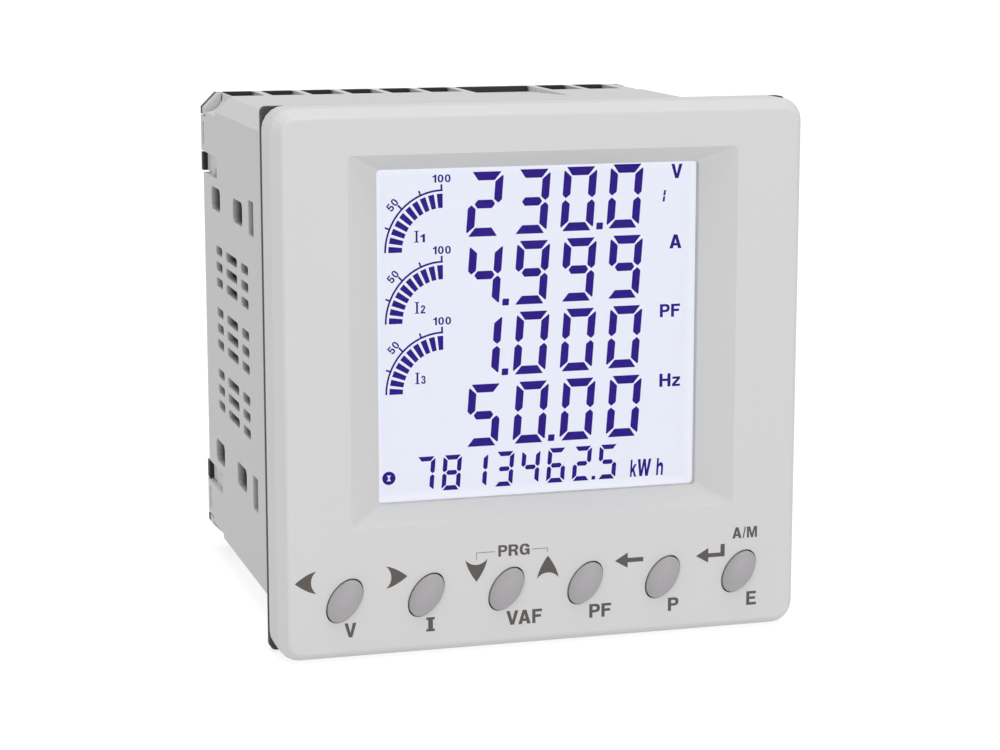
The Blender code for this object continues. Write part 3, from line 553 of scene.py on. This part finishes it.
def arc_line(shape, radius, thickness, start, sweep):
    """A thin line bent round the origin, made by spinning a short edge."""
    inner = shape.verts.new((radius - thickness / 2, 0, 0))
    outer = shape.verts.new((radius + thickness / 2, 0, 0))
    edge = shape.edges.new((inner, outer))
    turned(shape, [inner, outer], start, (0, 0))
    bmesh.ops.spin(shape, geom=[inner, outer, edge], cent=(0, 0, 0), axis=(0, 0, 1), dvec=(0, 0, 0),
                   angle=sweep, steps=28, use_merge=False, use_normal_flip=False, use_duplicate=False)


bars = bmesh.new()
bar_count = 10
bar_wide = math.radians(6.3)
bar_step = (math.radians(90) - bar_wide) / (bar_count - 1)
bar_inner = 7.55 * mm
bar_outer = 10.05 * mm
dial_pitch = 12.47 * mm
dial_line = 10.62 * mm
line_thick = 0.34 * mm
mark_inner = 10.75 * mm
mark_outer = 11.5 * mm
middle_mark_outer = 11.65 * mm
for number in range(3):
    centre = (-17.3 * mm, (22.6 * mm - number * dial_pitch))
    for index in range(bar_count):
        angle = math.radians(90) + bar_wide / 2 + index * bar_step
        wedge(bars, centre, bar_inner, bar_outer, angle, bar_wide)
    for mark in (22.5, 45.0, 67.5):
        outer = middle_mark_outer if mark == 45.0 else mark_outer
        wedge(bars, centre, mark_inner, outer, math.radians(180 - mark), line_thick / outer)
    line = bmesh.new()
    arc_line(line, dial_line, line_thick, math.radians(90), math.radians(90))
    bmesh.ops.translate(line, verts=line.verts, vec=(*centre, 0))
    drawn = bpy.data.meshes.new("line")
    line.to_mesh(drawn)
    line.free()
    bars.from_mesh(drawn)
    plate(bars, centre[0] - 0.4 * mm, centre[0] - 0.05 * mm,
          centre[1] + 10.79 * mm, centre[1] + middle_mark_outer)
dial_narrowing = 0.972
dial_raise = 0.14 * mm
narrower = (Matrix.Translation((centre[0], 0, 0)) @ Matrix.Diagonal((dial_narrowing, 1, 1, 1))
            @ Matrix.Translation((-centre[0], dial_raise, 0)))
bmesh.ops.transform(bars, matrix=narrower, verts=bars.verts)
lcd_bar_graphs = finish_flat(bars, "lcd_bar_graphs", segment_ink, film_face, lcd_right, -lcd_down)
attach(lcd_bar_graphs, "meter")


# Legends on the glass: the units V, A, PF, Hz and kWh, the scale numbers 50 and 100, and the phase numbers.
# All are liquid crystal film too, thinner in stroke than the figures. Each letter below is written as its
# width and height in capital heights, and then the loops of its outline in a square of one by one.

bowl = ((0.6, 1), (0.82, 0.97), (0.96, 0.87), (1, 0.72), (1, 0.66), (0.96, 0.53), (0.82, 0.42), (0.6, 0.38))
bowl_hole = ((0.3, 0.56), (0.3, 0.82), (0.55, 0.82), (0.67, 0.79), (0.71, 0.72), (0.71, 0.66), (0.67, 0.59),
             (0.55, 0.56))
sans = {
    "V": (1.0, 1.0, [
        ((0, 1), (0.29, 1), (0.5, 0.32), (0.71, 1), (1, 1), (0.65, 0), (0.35, 0)),
    ]),
    "A": (1.02, 1.0, [
        ((0, 0), (0.35, 1), (0.65, 1), (1, 0), (0.71, 0), (0.65, 0.2), (0.35, 0.2), (0.29, 0)),
        ((0.415, 0.38), (0.585, 0.38), (0.5, 0.7)),
    ]),
    "F": (0.8, 1.0, [
        ((0, 0), (0, 1), (1, 1), (1, 0.81), (0.33, 0.81), (0.33, 0.61), (0.9, 0.61), (0.9, 0.42),
         (0.33, 0.42), (0.33, 0)),
    ]),
    "E": (0.86, 1.0, [
        ((0, 0), (0, 1), (0.97, 1), (0.97, 0.81), (0.31, 0.81), (0.31, 0.6), (0.9, 0.6), (0.9, 0.42),
         (0.31, 0.42), (0.31, 0.19), (1, 0.19), (1, 0)),
    ]),
    "P": (0.88, 1.0, [
        ((0, 0), (0, 1), *bowl, (0.3, 0.38), (0.3, 0)),
        bowl_hole,
    ]),
    "R": (0.96, 1.0, [
        ((0, 0), (0, 1), *bowl[:5], (0.93, 0.54), (0.78, 0.45), (0.88, 0.38), (0.94, 0.26), (0.95, 0.1),
         (1, 0), (0.7, 0), (0.66, 0.1), (0.64, 0.26), (0.57, 0.36), (0.45, 0.38), (0.3, 0.38), (0.3, 0)),
        bowl_hole,
    ]),
    "G": (1.0, 1.0, [
        ((1, 0.67), (0.95, 0.82), (0.85, 0.93), (0.7, 0.99), (0.5, 1), (0.3, 0.97), (0.12, 0.86),
         (0.03, 0.7), (0, 0.5), (0.03, 0.3), (0.12, 0.13), (0.28, 0.03), (0.48, 0), (0.64, 0.03),
         (0.77, 0.12), (0.8, 0.02), (1, 0.02), (1, 0.56), (0.53, 0.56), (0.53, 0.38), (0.72, 0.38),
         (0.69, 0.27), (0.61, 0.2), (0.51, 0.18), (0.4, 0.21), (0.32, 0.31), (0.29, 0.5), (0.32, 0.68),
         (0.4, 0.79), (0.51, 0.82), (0.63, 0.79), (0.7, 0.67)),
    ]),
    "M": (1.12, 1.0, [
        ((0, 0), (0, 1), (0.3, 1), (0.5, 0.36), (0.7, 1), (1, 1), (1, 0), (0.79, 0), (0.79, 0.72), (0.6, 0),
         (0.4, 0), (0.21, 0.72), (0.21, 0)),
    ]),
    "/": (0.34, 1.0, [
        ((0, 0), (0.4, 0), (1, 1), (0.6, 1)),
    ]),
    "H": (0.92, 1.0, [
        ((0, 0), (0, 1), (0.28, 1), (0.28, 0.61), (0.72, 0.61), (0.72, 1), (1, 1), (1, 0), (0.72, 0),
         (0.72, 0.42), (0.28, 0.42), (0.28, 0)),
    ]),
    "z": (0.66, 0.73, [
        ((0, 0), (0, 0.24), (0.58, 0.77), (0.04, 0.77), (0.04, 1), (1, 1), (1, 0.77), (0.42, 0.23),
         (1, 0.23), (1, 0)),
    ]),
    "k": (0.74, 1.0, [
        ((0, 0), (0, 1), (0.28, 1), (0.28, 0.48), (0.62, 0.73), (0.98, 0.73), (0.6, 0.45), (1, 0),
         (0.66, 0), (0.39, 0.31), (0.28, 0.23), (0.28, 0)),
    ]),
    "W": (1.36, 1.0, [
        ((0, 1), (0.2, 1), (0.3, 0.36), (0.41, 1), (0.59, 1), (0.7, 0.36), (0.8, 1), (1, 1), (0.81, 0),
         (0.61, 0), (0.5, 0.62), (0.39, 0), (0.19, 0)),
    ]),
    "h": (0.7, 1.0, [
        ((0, 0), (0, 1), (0.29, 1), (0.29, 0.64), (0.42, 0.73), (0.62, 0.75), (0.84, 0.71), (0.97, 0.6),
         (1, 0.46), (1, 0), (0.71, 0), (0.71, 0.43), (0.65, 0.52), (0.51, 0.55), (0.36, 0.5), (0.29, 0.4),
         (0.29, 0)),
    ]),
    "0": (0.66, 1.0, [
        ((0.5, 1), (0.25, 0.95), (0.08, 0.8), (0, 0.5), (0.08, 0.2), (0.25, 0.05), (0.5, 0), (0.75, 0.05),
         (0.92, 0.2), (1, 0.5), (0.92, 0.8), (0.75, 0.95)),
        ((0.5, 0.84), (0.36, 0.76), (0.3, 0.5), (0.36, 0.24), (0.5, 0.16), (0.64, 0.24), (0.7, 0.5),
         (0.64, 0.76)),
    ]),
    "1": (0.42, 1.0, [
        ((0.5, 0), (0.5, 0.68), (0, 0.62), (0, 0.79), (0.42, 0.87), (0.58, 1), (1, 1), (1, 0)),
    ]),
    "2": (0.66, 1.0, [
        ((0, 0), (0, 0.12), (0.1, 0.27), (0.56, 0.58), (0.66, 0.7), (0.62, 0.8), (0.5, 0.83), (0.38, 0.8),
         (0.32, 0.68), (0.03, 0.7), (0.1, 0.87), (0.27, 0.98), (0.5, 1), (0.76, 0.97), (0.93, 0.85),
         (0.97, 0.7), (0.9, 0.55), (0.52, 0.27), (0.44, 0.18), (1, 0.18), (1, 0)),
    ]),
    "3": (0.66, 1.0, [
        ((0, 0.28), (0.3, 0.31), (0.36, 0.21), (0.5, 0.17), (0.64, 0.21), (0.69, 0.31), (0.64, 0.41),
         (0.5, 0.45), (0.38, 0.45), (0.38, 0.6), (0.5, 0.6), (0.62, 0.64), (0.66, 0.72), (0.62, 0.8),
         (0.5, 0.83), (0.38, 0.8), (0.32, 0.7), (0.04, 0.72), (0.12, 0.88), (0.28, 0.98), (0.5, 1),
         (0.74, 0.97), (0.9, 0.87), (0.94, 0.73), (0.88, 0.61), (0.76, 0.54), (0.92, 0.45), (1, 0.3),
         (0.94, 0.13), (0.76, 0.02), (0.5, 0), (0.24, 0.03), (0.06, 0.13)),
    ]),
    "5": (0.66, 1.0, [
        ((0, 0.27), (0.29, 0.29), (0.36, 0.2), (0.5, 0.17), (0.64, 0.22), (0.7, 0.33), (0.64, 0.45),
         (0.5, 0.49), (0.36, 0.45), (0.31, 0.39), (0.04, 0.43), (0.13, 1), (0.92, 1), (0.92, 0.82),
         (0.36, 0.82), (0.32, 0.61), (0.42, 0.65), (0.57, 0.66), (0.8, 0.62), (0.96, 0.5), (1, 0.33),
         (0.94, 0.15), (0.76, 0.02), (0.5, 0), (0.24, 0.02), (0.06, 0.12)),
    ]),
}


def words(shape, text, left, right, base, top, lean=0.0, turn=0.0):
    """Bold sans lettering that fills the box given, in metres, turned about the middle of the box."""
    letter_gap = 0.13
    outline = bpy.data.curves.new("lettering", "CURVE")
    outline.dimensions = "2D"
    outline.fill_mode = "BOTH"
    pen = 0.0
    for sign in text:
        wide, tall, loops = sans[sign]
        for loop in loops:
            spline = outline.splines.new("POLY")
            spline.points.add(len(loop) - 1)
            spline.use_cyclic_u = True
            for point, (x, y) in zip(spline.points, loop):
                point.co = (pen + wide * x + lean * tall * y, tall * y, 0, 1)
        pen += wide + (0.0 if sign == "V" else letter_gap)
    holder = bpy.data.objects.new("lettering", outline)
    bpy.context.scene.collection.objects.link(holder)
    bpy.context.view_layer.update()
    drawn = bpy.data.meshes.new_from_object(holder)
    bpy.data.objects.remove(holder)
    xs = [vert.co.x for vert in drawn.vertices]
    ys = [vert.co.y for vert in drawn.vertices]
    fit = Matrix.Diagonal(((right - left) / (max(xs) - min(xs)), (top - base) / (max(ys) - min(ys)), 1, 1))
    centre = Matrix.Translation((-(max(xs) + min(xs)) / 2, -(max(ys) + min(ys)) / 2, 0))
    place = Matrix.Translation(((left + right) / 2, (base + top) / 2, 0)) @ Matrix.Rotation(turn, 4, "Z")
    drawn.transform(place @ fit @ centre)
    shape.from_mesh(drawn)


def slab_capital(shape, left, right, base, top, stem, slab):
    """A capital I with slab serifs, as one outline."""
    middle_x = (left + right) / 2
    half = stem / 2
    flat_shape(shape, (
        (left, base), (right, base), (right, base + slab), (middle_x + half, base + slab),
        (middle_x + half, top - slab), (right, top - slab), (right, top), (left, top),
        (left, top - slab), (middle_x - half, top - slab), (middle_x - half, base + slab),
        (left, base + slab),
    ))


legends = bmesh.new()
for text, left, right, base, top in (
    ("V", 24.7, 26.8, 34.2, 36.75),
    ("A", 24.5, 26.8, 21.65, 24.15),
    ("PF", 22.85, 26.65, 9.3, 11.65),
    ("Hz", 22.9, 26.85, -3.38, -0.98),
):
    words(legends, text, left * mm, right * mm, base * mm, top * mm)
for text, left, right in (("k", 17.45, 18.75), ("W", 18.95, 21.55), ("h", 22.45, 23.8)):
    words(legends, text, left * mm, right * mm, -19.62 * mm, -16.45 * mm, lean=0.1)
for number in range(3):
    low = 24.4 * mm - number * dial_pitch
    slab_capital(legends, -22.4 * mm, -21.6 * mm, low, low + 2.05 * mm, 0.34 * mm, 0.16 * mm)
    words(legends, str(number + 1), -21.35 * mm, -20.5 * mm, low, low + 1.45 * mm)
    words(legends, "100", -19.1 * mm, -15.85 * mm, low + 10.3 * mm, low + 11.7 * mm)
    words(legends, "50", -27.35 * mm, -25.2 * mm, low + 5.95 * mm, low + 7.35 * mm,
          turn=math.radians(50))
lcd_legends = finish_flat(legends, "lcd_legends", segment_ink, film_face, lcd_right, -lcd_down)
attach(lcd_legends, "meter")


# Phase sign at the lower left of the glass: a dark disc of the same film, with a capital I left open in it.
# The open letter is drawn as a second film in the tone of the lit ground, just in front of the disc.

badge = bmesh.new()
badge_x = -27.27 * mm
badge_up = -17.08 * mm
badge_radius = 1.2 * mm
bmesh.ops.create_circle(badge, cap_ends=True, radius=badge_radius, segments=40,
                        matrix=Matrix.Translation((badge_x, badge_up, 0)))
lcd_badge = finish_flat(badge, "lcd_badge", segment_ink, film_face, lcd_right, -lcd_down)
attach(lcd_badge, "meter")
opening = bmesh.new()
slab_capital(opening, badge_x - 0.34 * mm, badge_x + 0.34 * mm, badge_up - 0.5 * mm, badge_up + 0.5 * mm,
             0.3 * mm, 0.17 * mm)
lcd_badge_letter = finish_flat(opening, "lcd_badge_letter", lcd_ground, film_face - film,
                               lcd_right, -lcd_down)
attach(lcd_badge_letter, "meter")


# Six oval keys: satin mid grey caps of a soft plastic, each leaning to the right in its own hole.
# A cap shows a little slimmer than its solid, and a thin rim of the bezel's plastic fills the rest of
# the hole. The caps sink with their keys when pressed, and the rims stay with the bezel.

key_plastic = moulded("key_plastic", (0.40, 0.385, 0.395), 0.42, pits=3200.0, pit_depth=0.008 * mm,
                      clouds=120.0, spread=0.05, specular=0.45)
key_names = ("v", "i", "vaf", "pf", "p", "e")
slimming = 0.915
sharp_edge = math.radians(25)
key_lean = math.radians(55.5)
rim_face = -11.99 * mm
rim_depth = 1.2 * mm
rims = bmesh.new()
for name in key_names:
    low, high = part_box("key_" + name)
    centre = (low + high) / 2
    cap = bmesh.new()
    cap.from_mesh(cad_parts["key_" + name].data)
    bmesh.ops.remove_doubles(cap, verts=cap.verts, dist=0.001 * mm)
    slimmer = (Matrix.Translation(centre) @ Matrix.Diagonal((slimming, 1, slimming, 1))
               @ Matrix.Translation(-centre))
    bmesh.ops.transform(cap, matrix=slimmer, verts=cap.verts)
    for face in cap.faces:
        face.smooth = True
    for edge in cap.edges:
        edge.smooth = edge.calc_face_angle(0.0) < sharp_edge
    mesh = bpy.data.meshes.new("cap_" + name)
    cap.to_mesh(mesh)
    cap.free()
    mesh.materials.append(key_plastic)
    key_cap = bpy.data.objects.new("cap_" + name, mesh)
    bpy.context.scene.collection.objects.link(key_cap)
    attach(key_cap, "key_" + name)
    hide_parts("key_" + name)
    drawn = []
    for length, width in ((4.83 * mm, 3.13 * mm), (4.36 * mm, 2.72 * mm)):
        leaning = (Matrix.Translation((centre.x, centre.z, 0)) @ Matrix.Rotation(key_lean, 4, "Z")
                   @ Matrix.Diagonal((length, width, 1, 1)))
        ring = bmesh.ops.create_circle(rims, radius=1.0, segments=64, matrix=leaning)
        drawn += {edge for vert in ring["verts"] for edge in vert.link_edges}
    bmesh.ops.bridge_loops(rims, edges=drawn)
key_rims = finish_flat(rims, "key_rims", bezel_plastic, rim_face, thick=rim_depth)
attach(key_rims, "meter")


# Printed marks of the keys: pad-printed in a dark warm grey straight on the bezel's front.
# Letters below the keys name the quantity, and the arrows above them are for setting the meter.

mark_ink = moulded("mark_ink", (0.115, 0.098, 0.09), 0.6, pits=5000.0, pit_depth=0.004 * mm,
                   clouds=400.0, spread=0.18, specular=0.3)
marks = bmesh.new()
front_face = -12.0 * mm
for text, left, right, base, top in (
    ("V", -36.6, -34.5, -43.7, -41.15),
    ("VAF", -7.35, -0.75, -43.77, -41.22),
    ("PF", 8.1, 12.2, -43.65, -41.15),
    ("P", 23.0, 25.0, -43.55, -41.1),
    ("E", 38.1, 40.0, -43.6, -41.05),
    ("PRG", -8.8, -3.05, -31.2, -29.15),
    ("A/M", 35.2, 39.95, -31.0, -28.95),
):
    words(marks, text, left * mm, right * mm, base * mm, top * mm)
slab_capital(marks, -21.95 * mm, -20.4 * mm, -43.77 * mm, -41.22 * mm, 0.85 * mm, 0.45 * mm)


def arrow_head(shape, tip_x, tip_y, direction, reach=1.0):
    """A pointed head with bowed sides and a hollow back, its tip at the place given."""
    outline = bpy.data.curves.new("arrow head", "CURVE")
    outline.dimensions = "2D"
    outline.fill_mode = "BOTH"
    outline.resolution_u = 8
    spline = outline.splines.new("BEZIER")
    spline.bezier_points.add(2)
    spline.use_cyclic_u = True
    for point, (co, before, after) in zip(spline.bezier_points, (
        ((0, 0), (1.1, 0.85), (1.1, -0.85)),
        ((4.05, -2.0), (2.6, -1.75), (2.72, -0.95)),
        ((4.05, 2.0), (2.72, 0.95), (2.6, 1.75)),
    )):
        point.handle_left_type = "FREE"
        point.handle_right_type = "FREE"
        point.co = (co[0] * mm, co[1] * mm, 0)
        point.handle_left = (before[0] * mm, before[1] * mm, 0)
        point.handle_right = (after[0] * mm, after[1] * mm, 0)
    holder = bpy.data.objects.new("arrow head", outline)
    bpy.context.scene.collection.objects.link(holder)
    bpy.context.view_layer.update()
    drawn = bpy.data.meshes.new_from_object(holder)
    bpy.data.objects.remove(holder)
    drawn.transform(Matrix.Translation((tip_x, tip_y, 0)) @ Matrix.Rotation(direction, 4, "Z")
                    @ Matrix.Diagonal((reach, 1, 1, 1)))
    shape.from_mesh(drawn)


arrow_head(marks, -45.27 * mm, -33.48 * mm, 0, 0.93)
arrow_head(marks, -25.3 * mm, -33.48 * mm, math.radians(180), 0.94)
arrow_head(marks, -12.8 * mm, -35.45 * mm, math.radians(90))
arrow_head(marks, 0.33 * mm, -31.65 * mm, math.radians(-90))
back_arrow = ((12.85, -33.55), (15.25, -34.95), (15.25, -33.95), (18.2, -33.95), (18.2, -33.15),
              (15.25, -33.15), (15.25, -32.15))
enter_arrow = ((28.25, -33.75), (30.6, -35.1), (30.6, -34.15), (33.75, -34.15), (33.75, -31.85),
               (32.95, -31.85), (32.95, -33.4), (30.6, -33.4), (30.6, -32.4))
for outline in (back_arrow, enter_arrow):
    flat_shape(marks, [(x * mm, y * mm) for x, y in outline])
key_marks = finish_flat(marks, "key_marks", mark_ink, front_face - film)
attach(key_marks, "meter")

hairline = bmesh.new()
for left, right, low, high in (
    (-12.85, -9.4, -30.3, -30.17), (-12.85, -12.72, -31.45, -30.3),
    (-2.6, 0.28, -30.3, -30.17), (0.15, 0.28, -30.95, -30.3),
):
    plate(hairline, left * mm, right * mm, low * mm, high * mm)
fine_ink = moulded("fine_ink", (0.27, 0.255, 0.25), 0.6, pits=5000.0, pit_depth=0.004 * mm,
                   clouds=400.0, spread=0.18, specular=0.3)
key_bracket = finish_flat(hairline, "key_bracket", fine_ink, front_face - film)
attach(key_bracket, "meter")


# Rear housing: a deep open box of grey ABS, moulded a little coarser than the bezel and matt.
# Vents, clamp windows and terminal bays go through its walls, little light reaches its inside, and that
# inside is painted near black as shade.

housing_plastic = moulded("housing_plastic", (0.64, 0.627, 0.633), 0.6, pits=1900.0, pit_depth=0.02 * mm,
                          clouds=35.0, spread=0.05)
# Painted shade: the inner walls and all behind them are coloured near black.
painted_shade_inside(housing_plastic, first=10.0 * mm, last=65.6 * mm)
dress(housing_plastic, "rear_housing")


# Terminal blocks: glass-filled black nylon, dull, with the flow marks of the filler, snapped in at the rear.
# Only the last two millimetres of their side lugs show black. The rest has the grey of the housing.

terminal_nylon = moulded("terminal_nylon", (0.022, 0.022, 0.024), 0.5, pits=1500.0, pit_depth=0.03 * mm,
                         clouds=220.0, spread=0.3, specular=0.35)
tree = terminal_nylon.node_tree
across, deep, up = away_from_middle(tree)
lug_inside = 41.6 * mm
lug_outside = 50.0 * mm
lug_front = 60.0 * mm
lug_black_from = 74.0 * mm
lugs = product(tree, in_range(tree, across, lug_inside, lug_outside),
               in_range(tree, deep, lug_front, lug_black_from))
tone_where(terminal_nylon, lugs, (0.6, 0.588, 0.592))
dress(terminal_nylon, "top_terminal_block", "bottom_terminal_block")


# Terminal and display screws: turned steel, plated with zinc. The bars through the current transformers
# are copper strip, bent and tinned, which carries the measured current.

def metal(name, colour, roughness, streaks, spread):
    """Bare metal with fine streaks across it and a slightly uneven shine."""
    streak_depth = 0.006 * mm
    made, shader = skinned(name, colour, roughness, streaks, streaks / 6, spread, streak_depth, 0.5)
    shader.inputs["Metallic"].default_value = 1.0
    return made


zinc_plate = metal("zinc_plate", (0.62, 0.62, 0.6), 0.34, 2400.0, 0.2)
tinned_copper = metal("tinned_copper", (0.72, 0.42, 0.28), 0.32, 1800.0, 0.2)
screws = ["%s_terminal_screw_%d" % (row, number) for row in ("top", "bottom") for number in range(1, 9)]
dress(zinc_plate, *screws, *("display_screw_%d" % number for number in range(1, 5)))
dress(tinned_copper, *("primary_bar_%d" % number for number in range(1, 4)))


# Circuit boards: sheets of glass-epoxy, etched and drilled, one behind the display and two along the box.
# The green solder mask over them shows the copper tracks as lighter bands.

board_green, tree, shader = new_material("board_green")
sheet = tree.nodes.new("ShaderNodeTexCoord")
tracks = tree.nodes.new("ShaderNodeTexBrick")
tracks.inputs["Scale"].default_value = 90.0
tracks.inputs["Mortar Size"].default_value = 0.06
tracks.inputs["Color1"].default_value = (0.015, 0.11, 0.045, 1)
tracks.inputs["Color2"].default_value = (0.018, 0.13, 0.055, 1)
tracks.inputs["Mortar"].default_value = (0.03, 0.2, 0.09, 1)
tree.links.new(sheet.outputs["Object"], tracks.inputs["Vector"])
tree.links.new(tracks.outputs["Color"], shader.inputs["Base Color"])
weave = tree.nodes.new("ShaderNodeBump")
weave.inputs["Distance"].default_value = 0.02 * mm
tree.links.new(tracks.outputs["Fac"], weave.inputs["Height"])
tree.links.new(weave.outputs["Normal"], shader.inputs["Normal"])
shader.inputs["Roughness"].default_value = 0.35
dress(board_green, "display_board", "current_board", "supply_board")


# Parts on the boards: switches, headers and the measuring chip in black plastic, soldered in place.
# The current transformers are cast in blue resin, and the display sits in a white moulded holder.

part_black = moulded("part_black", (0.03, 0.03, 0.032), 0.45, pits=4000.0, clouds=300.0, spread=0.2)
holder_white = moulded("holder_white", (0.8, 0.8, 0.78), 0.5, clouds=80.0, spread=0.04)
resin_blue = moulded("resin_blue", (0.03, 0.05, 0.16), 0.35, pits=900.0, clouds=150.0, spread=0.2)
dress(part_black, "current_board_header", "supply_board_header", "measuring_chip",
      *("switch_" + name for name in key_names))
dress(holder_white, "lcd_holder")
dress(resin_blue, *("current_transformer_%d" % number for number in range(1, 4)))


# Supply transformer: a stack of varnished steel sheets round a coil that is wrapped in yellow tape.
# The two capacitors beside it are aluminium cans in dark shrunk sleeves.

core_sheets, tree, shader = new_material("core_sheets")
stack = tree.nodes.new("ShaderNodeTexCoord")
sheets = tree.nodes.new("ShaderNodeTexWave")
sheets.wave_type = "BANDS"
sheets.bands_direction = "Y"
sheets.inputs["Scale"].default_value = 320.0
sheets.inputs["Distortion"].default_value = 0.4
tree.links.new(stack.outputs["Object"], sheets.inputs["Vector"])
varnish = tree.nodes.new("ShaderNodeMix")
varnish.data_type = "RGBA"
varnish.inputs["A"].default_value = (0.12, 0.115, 0.11, 1)
varnish.inputs["B"].default_value = (0.3, 0.29, 0.28, 1)
tree.links.new(sheets.outputs["Fac"], varnish.inputs["Factor"])
tree.links.new(varnish.outputs["Result"], shader.inputs["Base Color"])
edges = tree.nodes.new("ShaderNodeBump")
edges.inputs["Distance"].default_value = 0.05 * mm
tree.links.new(sheets.outputs["Fac"], edges.inputs["Height"])
tree.links.new(edges.outputs["Normal"], shader.inputs["Normal"])
shader.inputs["Metallic"].default_value = 0.8
shader.inputs["Roughness"].default_value = 0.45
dress(core_sheets, "transformer_core")
coil_tape = moulded("coil_tape", (0.72, 0.52, 0.08), 0.3, pits=700.0, clouds=200.0, spread=0.15)
dress(coil_tape, "transformer_coil")
sleeve_dark = moulded("sleeve_dark", (0.02, 0.028, 0.07), 0.3, pits=800.0, clouds=120.0, spread=0.2)
dress(sleeve_dark, "capacitor_1", "capacitor_2")
